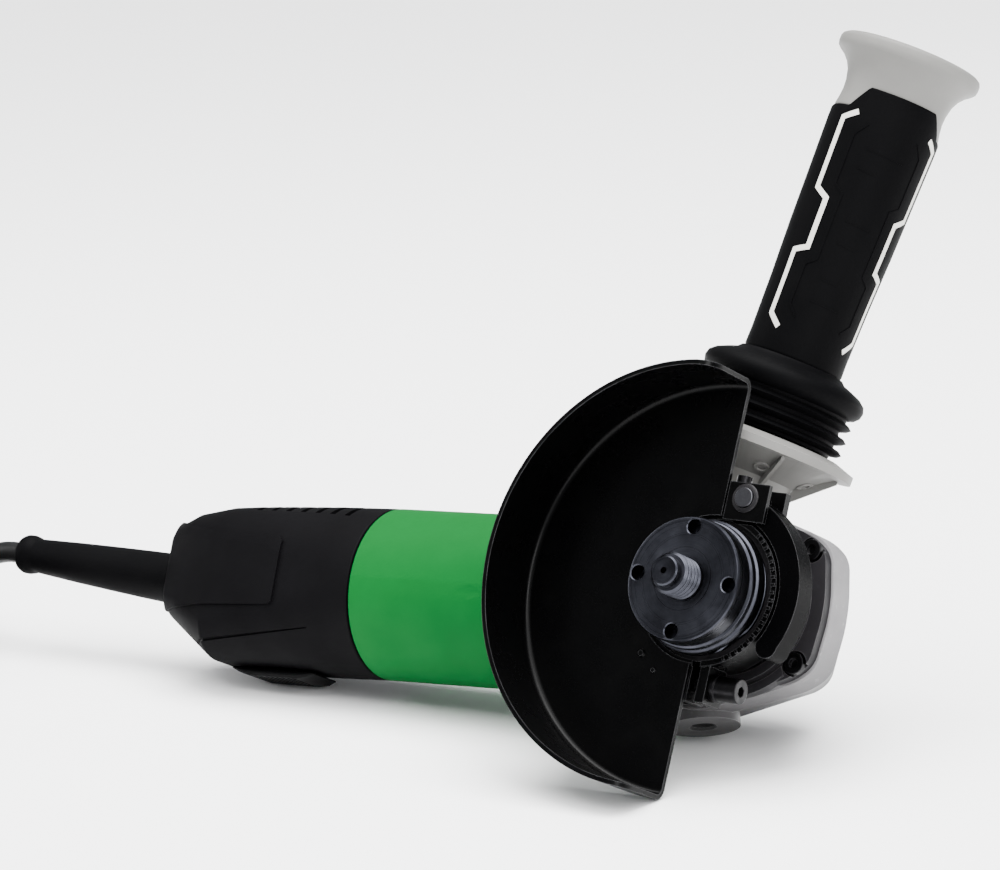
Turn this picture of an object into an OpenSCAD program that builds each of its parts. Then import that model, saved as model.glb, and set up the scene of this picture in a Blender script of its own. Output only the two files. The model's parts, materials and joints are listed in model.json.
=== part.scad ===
// Corded 125 mm angle grinder, lying on its side as it is put down on a floor.
// Every piece is drawn in tool axes, in millimetres: x runs forward along the motor,
// z runs towards the side handle, and the disc side is -y. The origin is where the
// motor axis crosses the spindle axis. posed() then lays each piece in its resting pose.

/* [Motor housing] */
// Outside diameter of the motor housing
body_d = 61; // [59:0.5:64]
// Wall of the plastic housings
wall = 2.6; // [2.2:0.1:3]
// Distance from the spindle back to the seam of the tail cover
seam_back = 155; // [152:1:158]
// Distance from the spindle back to the face of the gear case
head_back = 38; // [38:1:40]

/* [Tail cover] */
// Length of the tail cover
tail_len = 92.5; // [90:0.5:96]
// Travel of the slide switch
switch_travel = 7; // [5:0.5:8]

/* [Gear head] */
// Height of the gear case above the motor axis, on the side away from the disc
case_top = 33; // [32:0.5:36]
// Distance from the motor axis to the joint of case and bearing cover
cover_joint = 21; // [21:0.5:22]
// Thickness of the bearing cover's plate
cover_plate = 4; // [3.5:0.5:4.5]
// Diameter of the neck that carries the guard
neck_d = 47.2; // [46:0.2:48]
// Travel of the spindle lock button
lock_travel = 4.5; // [3.5:0.5:4.5]

/* [Bevel gears] */
// Teeth of the spindle's gear
gear_teeth = 37; // [37]
// Teeth of the motor's pinion
pinion_teeth = 11; // [11]
// Distance from the crossing of the axes to the outer end of the teeth
cone_len = 20; // [19.5:0.1:20]
// Length of the teeth
tooth_len = 6; // [5:0.5:6]

/* [Spindle] */
// Distance from the motor axis to the tip of the spindle
spindle_reach = 73; // [72:0.5:75]
// Thread diameter of the spindle
thread_d = 14; // [14]
// Diameter of the lock nut
nut_d = 42; // [40:0.5:43]
// Distance from the motor axis to the face of the lock nut
nut_face = 61; // [60:0.5:62]
// Diameter of the circle through the lock nut's holes
nut_hole_circle = 35; // [35]
// Diameter of the lock nut's holes
nut_hole_d = 5; // [5]
// Diameter of the inner flange
flange_d = 45; // [42:0.5:45]

/* [Wheel guard] */
// Outside radius of the guard
guard_r = 71; // [70:0.5:72]
// Distance from the motor axis to the outer face of the guard's plate
guard_plate = 46; // [46:0.5:47]
// Depth of the guard's skirt
guard_depth = 25; // [22:1:26]
// Thickness of the guard's sheet steel
guard_sheet = 1.6; // [1.2:0.1:2]
// Turn of the guard on its neck
guard_turn = 3.6; // [-90:0.1:90]

/* [Side handle] */
// Distance that the handle's axis lies behind the spindle, at the motor axis
handle_back = 26; // [25:0.5:27]
// Distance of the handle's axis from the motor axis, towards the disc
handle_off = 8; // [7:0.5:9]
// Forward lean of the handle
handle_lean = 14.45; // [12:0.05:16]
// Radius of the grip at its middle
grip_r = 18.4; // [17:0.1:19]
// Radius of the handle's base flange
base_r = 33.3; // [31:0.1:34]

/* [Mains cord] */
// Diameter of the cord
cord_d = 8; // [8]
// Mean radius of the coil's inner turns
coil_r = 42; // [42]
// Turns of cord that lie beside each other in the coil
coil_columns = 2; // [2]
// Turns of cord that lie above each other in the coil
coil_layers = 4; // [4]

/* [Hidden] */
$fn = 72;

// The resting pose: a roll and a pitch, then a shift that puts the lowest point on the
// floor and the middle of the tool's box over the origin.
roll = -26.03;
pitch = -2.47;
shift = [143.82, -2.77, 43.72];

seam_x = -seam_back;
head_x = -head_back;
tail_x = seam_x - tail_len;
body_r = body_d / 2;
cover_face = -cover_joint - cover_plate;
neck_r = neck_d / 2;
neck_end = -42;
// Screws from the housing into the gear case, in y and z
head_screw_places = [[-23, 29], [23, 29], [-23, -29], [23, -29]];

// Outline of the gear case in x and z, and the screws of the bearing cover on it
case_back = head_x + 6;
case_nose = 33.7;
case_side = 36;
flange_side = 35.97;    // half width of the joint between housing and gear case
case_outline = [
    [case_back, flange_side], [-10, case_side], [24.6, 25], [31.4, 19.6], [case_nose, 5],
    [case_nose, -5], [31.4, -19.6], [24.6, -25], [-10, -case_side], [case_back, -flange_side]
];
// The case narrows away from the disc: [y, reach of the nose, half width]
case_sections = [
    [-cover_joint + 0.1, case_nose, case_side], [-10, case_nose, case_side], [12, 17.5, 32.6],
    [case_top - 2, 9.1, 26.3], [case_top, 6, 23]
];
cover_screw_places = [[25.3, 19.1], [25.3, -19.1], [-26, 25], [-26, -25]];

// Cross-sections of the tail, each with its corner radius: [x, half width, top, bottom, radius]
tail_sections = [
    [seam_x, body_r, body_r, -body_r, body_r - 0.01],
    [seam_x - 42, 28, 27.6, -30, 19],
    [seam_x - 65, 27, 25.6, -30.6, 15],
    [seam_x - 81, 21, 23.2, -21, 11],
    [tail_x + 3, 16.6, 20, -16, 8],
    [tail_x, 14, 16.6, -11, 6]
];
tail_screw_x = seam_x - 6.5;
tail_screw_z = 12;
slot_x = -219;       // rear end of the slide switch's slot
clamp_x = -233;
run_gap = 0.05;      // radial clearance of a shaft that turns

// Motor
shaft_r = 4;
pinion_bore_r = 2.5;
core_x0 = -110;
core_x1 = -64;
armature_r = 17;
stator_bore_r = 17.6;
stator_r = 27;
commutator_x0 = -131;
commutator_x1 = -119;
commutator_r = 11;
fan_x0 = -56;
fan_x1 = -45;
front_bearing = [-37.5, -29.5, 13];    // from, to, outside radius
rear_bearing = [-144, -137, 11];

// Spindle stack, as distances along y
thread_core_r = 6.5;  // under the nut and the flange
tip_y = -spindle_reach;
nut_y = -nut_face;
nut_t = 8;
flange_y = nut_y + nut_t;
flange_t = 10;
shoulder_y = flange_y + flange_t;
bearing_y0 = -36;
bearing_y1 = -25;
spindle_bearing_r = 17.5;
seat_r = 7.5;
gear_bore_r = 6;
spindle_top_r = 5;
spindle_top_y = 23;
bush_y0 = 8;
bush_y1 = 15;
bush_r = 7.5;
gear_hub_y = -22.5;
gear_back_y = -13;

// Bevel gears: cone angles are measured from the gear's own axis, at the shared apex
gear_cone = atan(gear_teeth / pinion_teeth);
pinion_cone = 90 - gear_cone;
tooth_module = 2 * cone_len * sin(gear_cone) / gear_teeth;
addendum = atan(0.8 * tooth_module / cone_len);
dedendum = atan(1.1 * tooth_module / cone_len);
pinion_start = -90;   // puts a pinion tooth in the gap of the gear that faces the motor

// Half widths of a tooth as angles about the gear's axis, at the root, pitch and tip
gear_tooth = [[-dedendum, 2.6], [0, 1.7], [addendum, 0.9]];
pinion_tooth = [[-dedendum, 7.6], [0, 5.8], [addendum, 2.8]];

// Spindle lock
lock_x = -9.5;
lock_pin_r = 1.8;
lock_button_r = 6.6;
lock_rest_y = -2.6;

// Guard clamp
collar_r = 25.6;
collar_y0 = -guard_plate + guard_sheet;
collar_y1 = -31;
pivot = [7.8, 31.4];                   // lever pin, in x and z
lever_y0 = -44;
lever_y1 = -35.5;
lever_r = [26.6, 34];
ear_gap = 3.2;
tension_x = 2.3;

// Side handle, along its own axis
bellows_ribs = [65.9, 70.3, 75];

// Cord: the route is in the row's frame, where z = 0 is the floor
plug_place = [-204, -118, 17];
cord_guard_from = [tail_x + 1, 0, -0.1];
cord_guard_to = [-328, 0, 6.7];
coil_centre = [-240, -48];
coil_out_r = coil_r + (coil_columns - 0.5) * cord_d;
coil_in_r = coil_r - cord_d / 2;
coil_h = coil_layers * cord_d;
// The stretch from the cord guard to the coil, then the stretch from the coil to the plug
exit_point = posed_point(cord_guard_to);
to_coil = [exit_point, [-192, 0.5, 35.5], [-201, 1.2, 33.5], [-211.4, 2, 30.5]];
to_plug = [[-241, -105.5, 4], [-232, -110, 4.8], [-223, -113.8, 7.5], [-214, -116.6, 11.5],
    [-206, -117.8, 15], [-200, -118, 17]];

// ---- placing ----

module posed() translate(shift) rotate([roll, pitch, 0]) children();

// The same turn and shift for one point
function posed_point(p) =
    let (y = p[1] * cos(roll) - p[2] * sin(roll), z = p[1] * sin(roll) + p[2] * cos(roll))
    [p[0] * cos(pitch) + z * sin(pitch), y, -p[0] * sin(pitch) + z * cos(pitch)] + shift;

module rod_x(x0, x1, r) translate([x0, 0, 0]) rotate([0, 90, 0]) cylinder(h = x1 - x0, r = r);
module cone_x(x0, x1, r0, r1)
    translate([x0, 0, 0]) rotate([0, 90, 0]) cylinder(h = x1 - x0, r1 = r0, r2 = r1);
module rod_y(y0, y1, r) translate([0, y1, 0]) rotate([90, 0, 0]) cylinder(h = y1 - y0, r = r);
module ring_x(x0, x1, r_out, r_in) difference() { rod_x(x0, x1, r_out); rod_x(x0 - 1, x1 + 1, r_in); }
module ring_y(y0, y1, r_out, r_in) difference() { rod_y(y0, y1, r_out); rod_y(y0 - 1, y1 + 1, r_in); }

// A flat shape drawn in x and z, with its thickness along y
module plate_y(y0, y1) translate([0, y1, 0]) rotate([90, 0, 0]) linear_extrude(y1 - y0) children();
// A flat shape drawn in y and z, with its thickness along x
module plate_x(x0, x1) translate([x0, 0, 0]) rotate([90, 0, 90]) linear_extrude(x1 - x0) children();

// A box between two corners
module block(a, b) translate(a) cube(b - a);

// A solid of revolution about the handle's axis, from a list of [radius, height]
module handle_turned(profile) on_handle() rotate_extrude() polygon(profile);
module on_handle() translate([-handle_back, -handle_off, 0]) rotate([0, handle_lean, 0]) children();
module on_both_bosses() { on_handle() children(); mirror([0, 0, 1]) on_handle() children(); }

// A round-cornered square, half width w, corner radius r
module soft_square(w, h, r) hull() for (y = [-1, 1], z = [-1, 1])
    translate([y * (w - r), z * (h - r)]) circle(r, $fn = 32);

// ---- motor housing and tail ----

module motor_housing() color("seagreen") posed() {
    difference() {
        union() {
            rod_x(seam_x, head_x - 20, body_r);
            hull() {
                rod_x(head_x - 24, head_x - 20, body_r);
                plate_x(head_x - 6, head_x) soft_square(31, flange_side, 12);
            }
        }
        rod_x(seam_x - 1, head_x - 10, body_r - wall);
        rod_x(head_x - 11, head_x + 1, body_r - wall - 0.4);
        for (p = head_screw_places) translate([0, p[0], p[1]]) rod_x(head_x - 8, head_x + 1, 1.7);
    }
    // Lugs that take the tail cover's screws
    for (z = [-1, 1]) difference() {
        union() {
            block([seam_x - 12, 14, z * tail_screw_z - 4], [seam_x + 9, 22.2, z * tail_screw_z + 4]);
            block([seam_x + 1, 20, z * tail_screw_z - 4], [seam_x + 9, 24.6, z * tail_screw_z + 4]);
        }
        translate([tail_screw_x, 0, z * tail_screw_z]) rod_y(10, 30, 1.67);
    }
    // Rear bearing seat on four arms
    difference() {
        union() {
            rod_x(rear_bearing[0] - 2, rear_bearing[1] + 1, rear_bearing[2] + 4);
            for (a = [45 : 90 : 315]) rotate([a, 0, 0])
                block([rear_bearing[0] - 2, 0, -2], [rear_bearing[1] + 1, body_r - wall + 0.6, 2]);
        }
        rod_x(rear_bearing[0] - 3, rear_bearing[1] + 2, rear_bearing[2] + 1.5);
    }
}

module tail_skin(inset, stretch) hull() for (s = tail_sections) {
    r = max(1, s[4] - inset);
    x = s[0] == tail_x ? tail_x + inset : s[0] == seam_x ? seam_x + stretch : s[0];
    for (y = [-1, 1], z = [s[2] - s[4], s[3] + s[4]])
        translate([x - 0.05, y * (s[1] - s[4]), z]) rotate([0, 90, 0]) cylinder(h = 0.1, r = r, $fn = 48);
}

module tail_cover() color("#25262a") posed() {
    difference() {
        tail_skin(0, -0.15);
        tail_skin(wall, 2);
        // Cord guard's hole
        on_cord() cylinder(h = 12, r = 9.4, center = true);
        // Slot of the slide switch
        block([slot_x, -4.2, -40], [slot_x + 30, 4.2, -20]);
        // Air slots on the handle side and on the switch side
        for (i = [0 : 6]) translate([-208 + i * 6.5, 0, 0]) {
            block([0, 8, 18], [2.2, 20, 40]);
            block([0, -20, 18], [2.2, -8, 40]);
        }
        for (z = [-1, 1]) translate([tail_screw_x, 0, z * tail_screw_z]) {
            rod_y(20, 40, 1.8);
            rod_y(26, 40, 3.2);
        }
    }
    // Shelf of the cord clamp
    difference() {
        block([clamp_x - 5, -19.3, -9], [clamp_x + 5, 19.3, -3.2]);
        for (y = [-1, 1]) translate([clamp_x, y * 8, -10]) cylinder(h = 10, r = 1.6);
    }
    // Ribs that hold the switch
    for (x = [-208.2, -171.9], y = [-1, 1]) block([x, y * 7.2 - 2.6, -29.4], [x + 2, y * 7.2 + 2.6, -17]);
}

module on_cord() {
    d = cord_guard_to - cord_guard_from;
    translate(cord_guard_from) rotate([0, -90 + atan2(d[2], -d[0]), 0]) children();
}

module tail_cover_screws() color("#6a6c70") posed() for (z = [-1, 1])
    translate([tail_screw_x, 0, z * tail_screw_z]) {
        rod_y(15, 26, 1.65);
        rod_y(26, 28, 3);
    }

module cord_guard() color("#1c1c1e") posed() on_cord() {
    guard_l = norm(cord_guard_to - cord_guard_from);
    difference() {
        union() {
            translate([0, 0, -5]) cylinder(h = 2.2, r = 10.4);
            translate([0, 0, -3]) cylinder(h = 5, r = 9.3);
            translate([0, 0, 2]) cylinder(h = guard_l - 7, r1 = 9.2, r2 = 6.4);
            translate([0, 0, guard_l - 6]) cylinder(h = 6, r = 7.2);
        }
        translate([0, 0, -6]) cylinder(h = guard_l + 7, r = cord_d / 2);
    }
}

module cord_clamp() color("#3a3b3f") posed() {
    difference() {
        block([clamp_x - 4, -11, 5.6], [clamp_x + 4, 11, 9]);
        for (y = [-1, 1]) translate([clamp_x, y * 8, 0]) cylinder(h = 20, r = 1.6);
    }
}

module cord_clamp_screws() color("#8b8d92") posed() for (y = [-1, 1]) translate([clamp_x, y * 8, 0]) {
    translate([0, 0, -8]) cylinder(h = 17, r = 1.55);
    translate([0, 0, 9]) cylinder(h = 2, r = 2.8);
}

// ---- switch ----

module switch_body() color("#2f3034") posed() block([-206, -9, -22], [-172, 9, 2]);

module switch_slider() color("#17171a") posed() {
    hull() {
        block([-212, -7, -34], [-184, 7, -33.2]);
        block([-216, -8.4, -31.8], [-180, 8.4, -31.3]);
    }
    block([-210, -4, -33], [-198, 4, -22.3]);
}

// ---- motor ----

module fan_baffle() color("#c9c6ba") posed() ring_x(-61, -58.5, body_r - wall - 0.1, 20);

module stator_core() color("#8f9297") posed() difference() {
    rod_x(core_x0, core_x1, stator_r);
    rod_x(core_x0 - 1, core_x1 + 1, stator_bore_r);
    for (z = [-1, 1]) block([core_x0 - 1, -9, z * 20 - 4], [core_x1 + 1, 9, z * 20 + 4]);
}

module stator_coils() color("#b5652b") posed() for (z = [-1, 1]) {
    block([core_x0 - 0.2, -8.6, z * 20.4 - 3], [core_x1 + 0.2, 8.6, z * 20.4 + 3]);
    difference() {
        union() {
            ring_x(core_x0 - 8, core_x0 - 0.2, 25.4, 18.4);
            ring_x(core_x1 + 0.2, core_x1 + 2.8, 25.4, 18.4);
        }
        block([core_x0 - 10, -30, -z * 40 - 36], [core_x1 + 10, 30, -z * 40 + 44]);
    }
}

module motor_shaft() color("#b9bcc1") posed() {
    rod_x(-146, front_bearing[0] - 4, shaft_r);
    rod_x(front_bearing[0] - 4, front_bearing[1] + 3, shaft_r);
    rod_x(front_bearing[1] + 3, -14, pinion_bore_r);
}

module armature_core() color("#7d8086") posed() difference() {
    rod_x(core_x0 + 1, core_x1 - 1, armature_r);
    rod_x(core_x0, core_x1, shaft_r);
    for (a = [0 : 30 : 330]) rotate([a, 0, 0]) {
        block([core_x0, 14.6, -0.8], [core_x1, 18, 0.8]);
        translate([0, 13, 0]) rod_x(core_x0, core_x1, 2);
    }
}

module armature_windings() color("#a4501f") posed() {
    ring_x(commutator_x1 + 0.2, core_x0 + 0.8, 14.6, shaft_r);
    ring_x(core_x1 - 0.8, core_x1 + 4, 14.6, shaft_r);
    for (a = [0 : 30 : 330]) rotate([a, 0, 0])
        translate([0, 13, 0]) rod_x(core_x0 + 0.9, core_x1 - 0.9, 1.8);
}

module commutator() color("#b87333") posed() difference() {
    union() {
        rod_x(commutator_x0, commutator_x1, commutator_r);
        rod_x(commutator_x1 - 2, commutator_x1, commutator_r + 1.6);
    }
    rod_x(commutator_x0 - 1, commutator_x1 + 1, shaft_r);
    for (a = [0 : 15 : 345]) rotate([a, 0, 0])
        block([commutator_x0 - 1, commutator_r - 1, -0.3], [commutator_x1 - 2.2, commutator_r + 1, 0.3]);
}

module cooling_fan() color("#d8d6cc") posed() difference() {
    union() {
        rod_x(fan_x0, fan_x0 + 2, 26.4);
        rod_x(fan_x0, fan_x1, 8);
        for (a = [0 : 30 : 330]) rotate([a, 0, 0])
            block([fan_x0 + 1, 14, -0.8], [fan_x1, 26.2, 0.8]);
    }
    rod_x(fan_x0 - 1, fan_x1 + 1, shaft_r);
}

module bearing_x(seat, bore_r) {
    r_mid = (seat[2] + bore_r) / 2;
    ring_x(seat[0], seat[1], seat[2], r_mid + 1.2);
    ring_x(seat[0] + 0.8, seat[1] - 0.8, r_mid + 1.3, r_mid - 1.3);
    ring_x(seat[0], seat[1], r_mid - 1.2, bore_r);
}

module front_motor_bearing() color("#a9acb2") posed() bearing_x(front_bearing, shaft_r + run_gap);
module rear_motor_bearing() color("#a9acb2") posed() bearing_x(rear_bearing, shaft_r + run_gap);
module rear_bearing_bush() color("#222326") posed()
    ring_x(rear_bearing[0], rear_bearing[1], rear_bearing[2] + 1.48, rear_bearing[2]);

module brush_holders() color("#c8a24a") posed() for (z = [-1, 1]) difference() {
    block([-130, -5, z * 19.5 - 5.5], [-120, 5, z * 19.5 + 5.5]);
    block([-128.2, -3.2, z * 19.5 - 7], [-121.8, 3.2, z * 19.5 + 7]);
}

module carbon_brushes() color("#3b3b3d") posed() for (z = [-1, 1])
    block([-128, -3, z * 17.4 - 6], [-122, 3, z * 17.4 + 6]);

module brush_springs() color("#9a9ca0") posed() for (z = [-1, 1])
    translate([-125, 0, z * 24.2]) cylinder(h = 1.4, r = 2.6, center = true);

// ---- bevel gears ----

// The outline of a toothed cone: [angle about the axis, cone angle] for each point
function tooth_outline(teeth, cone, tooth, start) = [
    for (i = [0 : teeth - 1]) let (mid = start + i * 360 / teeth)
        each [for (k = [0, 1, 2, 3, 4, 5]) let (t = tooth[k < 3 ? k : 5 - k], side = k < 3 ? -1 : 1)
            [mid + side * t[1], cone + t[0]]]
];
function cone_point(outline, dist) = [
    for (p = outline) dist * [sin(p[1]) * cos(p[0]), sin(p[1]) * sin(p[0]), cos(p[1])]
];

// A closed toothed cone with its apex at the origin and its axis along +z
module toothed_cone(outline, near, far, back) {
    n = len(outline);
    a = cone_point(outline, near);
    b = cone_point(outline, far);
    c = [for (p = b) [p[0], p[1], back]];
    near_z = near * cos(outline[1][1]);
    points = concat(a, b, c, [[0, 0, near_z], [0, 0, back]]);
    faces = concat(
        [for (i = [0 : n - 1]) [3 * n, i, (i + 1) % n]],
        [for (i = [0 : n - 1]) each [[i, n + i, n + (i + 1) % n], [i, n + (i + 1) % n, (i + 1) % n]]],
        [for (i = [0 : n - 1]) each [
            [n + i, 2 * n + i, 2 * n + (i + 1) % n], [n + i, 2 * n + (i + 1) % n, n + (i + 1) % n]]],
        [for (i = [0 : n - 1]) [3 * n + 1, 2 * n + (i + 1) % n, 2 * n + i]]
    );
    polyhedron(points, faces);
}

module bevel_gear() color("#8a8d92") posed() difference() {
    union() {
        rotate([90, 0, 0]) toothed_cone(
            tooth_outline(gear_teeth, gear_cone, gear_tooth, 0),
            cone_len - tooth_len, cone_len, -gear_back_y);
        rod_y(gear_hub_y, gear_back_y, 9);
    }
    rod_y(gear_hub_y - 1, 0, gear_bore_r);
    for (a = [0 : 45 : 315]) rotate([0, a, 0]) translate([lock_x, 0, 0]) rod_y(gear_back_y - 1, 0, 2.3);
}

module pinion_gear() color("#8a8d92") posed() difference() {
    union() {
        rotate([0, -90, 0]) toothed_cone(
            tooth_outline(pinion_teeth, pinion_cone, pinion_tooth, pinion_start),
            cone_len - tooth_len - 0.2, cone_len + 0.2, cone_len * cos(pinion_cone) + 0.8);
        rod_x(front_bearing[1] + 3.2, -cone_len * cos(pinion_cone) - 0.4, 4.2);
    }
    rod_x(-40, -5, pinion_bore_r);
}

// ---- gear head ----

// The case's outline drawn in to another nose and half width
function case_outline_at(nose, half) =
    let (shrink = (nose - case_back) / (case_nose - case_back))
    [for (p = case_outline) [case_back + (p[0] - case_back) * shrink, p[1] * half / case_side]];

module gear_case() color("#7e7f84") posed() difference() {
    union() {
        hull() for (s = case_sections) plate_y(s[0] - 0.1, s[0]) polygon(case_outline_at(s[1], s[2]));
        plate_x(head_x, head_x + 9) soft_square(31, flange_side, 12);
        on_both_bosses() translate([0, 0, 22]) cylinder(h = 19, r = 12.6);
    }
    rod_y(-cover_joint - 20, -1, 22.2);
    rod_x(head_x - 1, front_bearing[1], front_bearing[2] + 0.02);
    rod_x(front_bearing[1] - 1, -8, 9.2);
    rod_y(-2, bush_y1, bush_r + 0.02);
    rod_y(bush_y1 - 1, spindle_top_y + 1, 5.4);
    translate([lock_x, 0, 0]) {
        rod_y(-2, 20, lock_pin_r + run_gap);
        rod_y(15, 30, 4.3);
        rod_y(26, case_top + 5, lock_button_r + 0.3);
    }
    on_both_bosses() translate([0, 0, 27]) cylinder(h = 20, r = 4);
    for (p = head_screw_places) translate([0, p[0], p[1]]) {
        rod_x(head_x - 1, head_x + 20, 1.7);
        rod_x(head_x + 5, head_x + 60, 3.4);
    }
    for (p = cover_screw_places) translate([p[0], 0, p[1]]) {
        rod_y(-cover_joint - 1, -9, 1.7);
        rod_y(cover_face - 20, cover_face + 1.7, 4.1);
    }
}

module bearing_cover() color("#3b3c40") posed() difference() {
    union() {
        plate_y(cover_face, -cover_joint) difference() {
            offset(delta = -0.8) polygon(case_outline);
            translate([head_x, -50]) square([9.4, 100]);
        }
        rod_y(neck_end, cover_face + 1, neck_r);
        rod_y(cover_face - 2.4, cover_face + 1, 28);
        rod_y(-cover_joint - 0.5, -cover_joint + 2, 22);
    }
    rod_y(bearing_y0, 0, spindle_bearing_r + 0.02);
    rod_y(bearing_y1 - 0.01, 0, 20.6);
    rod_y(neck_end - 1, bearing_y0 + 1, 11.6);
    for (p = cover_screw_places) translate([p[0], 0, p[1]]) {
        rod_y(cover_face - 1, 0, 1.8);
        rod_y(cover_face - 20, cover_face + 1.6, 4.4);
    }
}

// A pan-head screw along +y, with its head's top at y = 0
module pan_screw(head_r, head_h, r, l) {
    rod_y(head_h, head_h + l, r);
    difference() {
        rod_y(0, head_h, head_r);
        rod_y(-1, head_h * 0.5, head_r * 0.42);
    }
}

module bearing_cover_screws() color("#26272a") posed() for (p = cover_screw_places)
    translate([p[0], cover_face - 0.9, p[1]]) pan_screw(3.6, 2.5, 1.68, 12);

module gear_case_screws() color("#8b8d92") posed() for (p = head_screw_places) translate([0, p[0], p[1]]) {
    rod_x(head_x - 7, head_x + 5, 1.68);
    rod_x(head_x + 5, head_x + 8.5, 3.2);
}

module spindle_bearing() color("#a9acb2") posed() {
    ring_y(bearing_y0, bearing_y1, spindle_bearing_r, 14.2);
    ring_y(bearing_y0 + 1, bearing_y1 - 1, 14.3, 10.7);
    ring_y(bearing_y0, bearing_y1, 10.8, seat_r + run_gap);
}

module bearing_retainer() color("#8b8d92") posed() ring_y(bearing_y1 + 0.02, bearing_y1 + 1.8, 20.5, 9.6);
module spindle_bush() color("#b08d4a") posed()
    ring_y(bush_y0, bush_y1, bush_r, spindle_top_r + run_gap);
module dust_seal() color("#1b1b1d") posed() ring_y(neck_end + 0.6, bearing_y0 - 0.4, 11.6, 10.2 + run_gap);

// ---- spindle ----

module spindle() color("#5c5f64") posed() difference() {
    union() {
        rod_y(tip_y, tip_y + 3.2, 5);
        rod_y(tip_y + 3, nut_y, thread_d / 2);
        rod_y(nut_y - 1, flange_y + 6, thread_core_r);
        rod_y(flange_y + 5, shoulder_y + 1, 8.4);
        rod_y(shoulder_y, bearing_y0 - 0.2, 10.2);
        rod_y(bearing_y0 - 1, gear_hub_y - 0.3, seat_r);
        rod_y(gear_hub_y - 1, -4.6, gear_bore_r);
        rod_y(-5, spindle_top_y - 2, spindle_top_r);
    }
    rod_y(tip_y - 1, tip_y + 2.5, 1.1);
}

module inner_flange() color("#4a4d52") posed() difference() {
    rod_y(flange_y, shoulder_y, flange_d / 2);
    rod_y(flange_y - 1, shoulder_y + 1, thread_core_r + 0.02);
    rod_y(flange_y + 5, shoulder_y + 1, 8.45);
    rod_y(flange_y - 1, flange_y + 1.2, 11.2);
    rotate([0, 52, 0]) for (s = [-1, 1])
        block([s > 0 ? flange_d / 2 - 1.6 : -flange_d, shoulder_y - 5, -20],
            [s > 0 ? flange_d : -flange_d / 2 + 1.6, shoulder_y + 1, 20]);
}

module lock_nut() color("#4a4d52") posed() difference() {
    union() {
        rod_y(nut_y, nut_y + 1, nut_d / 2 - 0.6);
        rod_y(nut_y + 0.8, flange_y - 0.02, nut_d / 2);
        rod_y(flange_y - 1, flange_y + 1, 11);
    }
    rod_y(nut_y - 1, flange_y + 2, thread_core_r + 0.02);
    rotate([0, 4, 0]) for (a = [0 : 90 : 270]) rotate([0, a, 0])
        translate([nut_hole_circle / 2, 0, 0]) rod_y(nut_y - 1, nut_y + 5.5, nut_hole_d / 2);
}

// ---- spindle lock ----

module lock_button() color("#1d1d20") posed() translate([lock_x, 0, 0]) {
    rod_y(31.5, case_top + 3, lock_button_r);
    rod_y(case_top + 2.8, case_top + 4, lock_button_r - 1);
}
module lock_pin() color("#9a9ca0") posed() translate([lock_x, 0, 0]) rod_y(lock_rest_y, 31.5, lock_pin_r);
module lock_spring() color("#b9bcc1") posed() translate([lock_x, 0, 0]) ring_y(15.2, 31.3, 3.9, 2.6);

// ---- wheel guard ----

module on_guard() rotate([0, guard_turn, 0]) children();

module guard_half() translate([-guard_r - 5, -100]) square([guard_r + 5, 200]);

module wheel_guard() color("#1a1a1c") posed() on_guard() {
    plate_y(-guard_plate, -guard_plate + guard_sheet) difference() {
        intersection() { circle(guard_r - 1.2); guard_half(); }
        circle(neck_r + 0.05);
    }
    plate_y(-guard_plate - guard_depth, -guard_plate) difference() {
        intersection() { circle(guard_r); guard_half(); }
        circle(guard_r - guard_sheet);
    }
    plate_y(-guard_plate, -guard_plate + 1) difference() {
        intersection() { circle(guard_r - 0.4); guard_half(); }
        circle(guard_r - 3);
    }
}

module guard_collar() color("#2a2b2e") posed() on_guard() difference() {
    union() {
        ring_y(collar_y0, collar_y1, collar_r, neck_r + 0.05);
        block([0.8, -guard_plate, 23.8], [16.2, -32, 36.6]);
        block([ear_gap, -43.5, -37], [ear_gap + 3.4, -32.5, -24.4]);
        block([-3.4, -43.5, -37], [0, -32.5, -24.4]);
        rod_y(collar_y1, collar_y1 + 1.4, 24.9);
    }
    rod_y(-60, -20, neck_r + 0.05);
    block([0, -60, -40], [ear_gap, -20, -20]);
    translate([pivot[0], 0, pivot[1]]) rod_y(-60, -20, 2.5);
    block([3.8, -44.4, 23], [30, -35, 40]);
    translate([0, -38, -31]) rod_x(-10, 10, 2.05);
    translate([tension_x, -40, 30]) cylinder(h = 20, r = 1.05);
}

module clamp_screw() color("#26272a") posed() on_guard() translate([0, -38, -31]) difference() {
    union() {
        rod_x(-7.6, 8, 2);
        rod_x(ear_gap + 3.4, ear_gap + 5.4, 4.7);
        rod_x(ear_gap + 5.2, ear_gap + 13.6, 4.2);
    }
    rod_x(ear_gap + 9, ear_gap + 14, 1.8, $fn = 6);
}

module clamp_nut() color("#6a6c70") posed() on_guard() translate([0, -38, -31]) difference() {
    rod_x(-6.6, -3.4, 4, $fn = 6);
    rod_x(-8, -3, 2.02);
}

module tension_screw() color("#26272a") posed() on_guard() translate([tension_x, -40, 31]) {
    cylinder(h = 5.6, r = 1);
    difference() {
        translate([0, 0, 5.6]) cylinder(h = 3, r = 2.6);
        block([-3, -0.4, 7.6], [3, 0.4, 9]);
    }
}

module guard_lever() color("#141416") posed() on_guard() difference() {
    union() {
        plate_y(lever_y0, lever_y1) intersection() {
            difference() { circle(lever_r[1]); circle(lever_r[0]); }
            polygon([[0, 0], [16, 50], [60, 40], [60, -32]]);
        }
        translate([pivot[0], 0, pivot[1]]) rod_y(lever_y0, lever_y1, 4);
        translate([26, 0, -15.8]) rod_y(lever_y0, lever_y1, 4);
    }
    translate([pivot[0], 0, pivot[1]]) rod_y(-60, -20, 2.55);
    rod_y(-60, -20, lever_r[0]);
}

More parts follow.
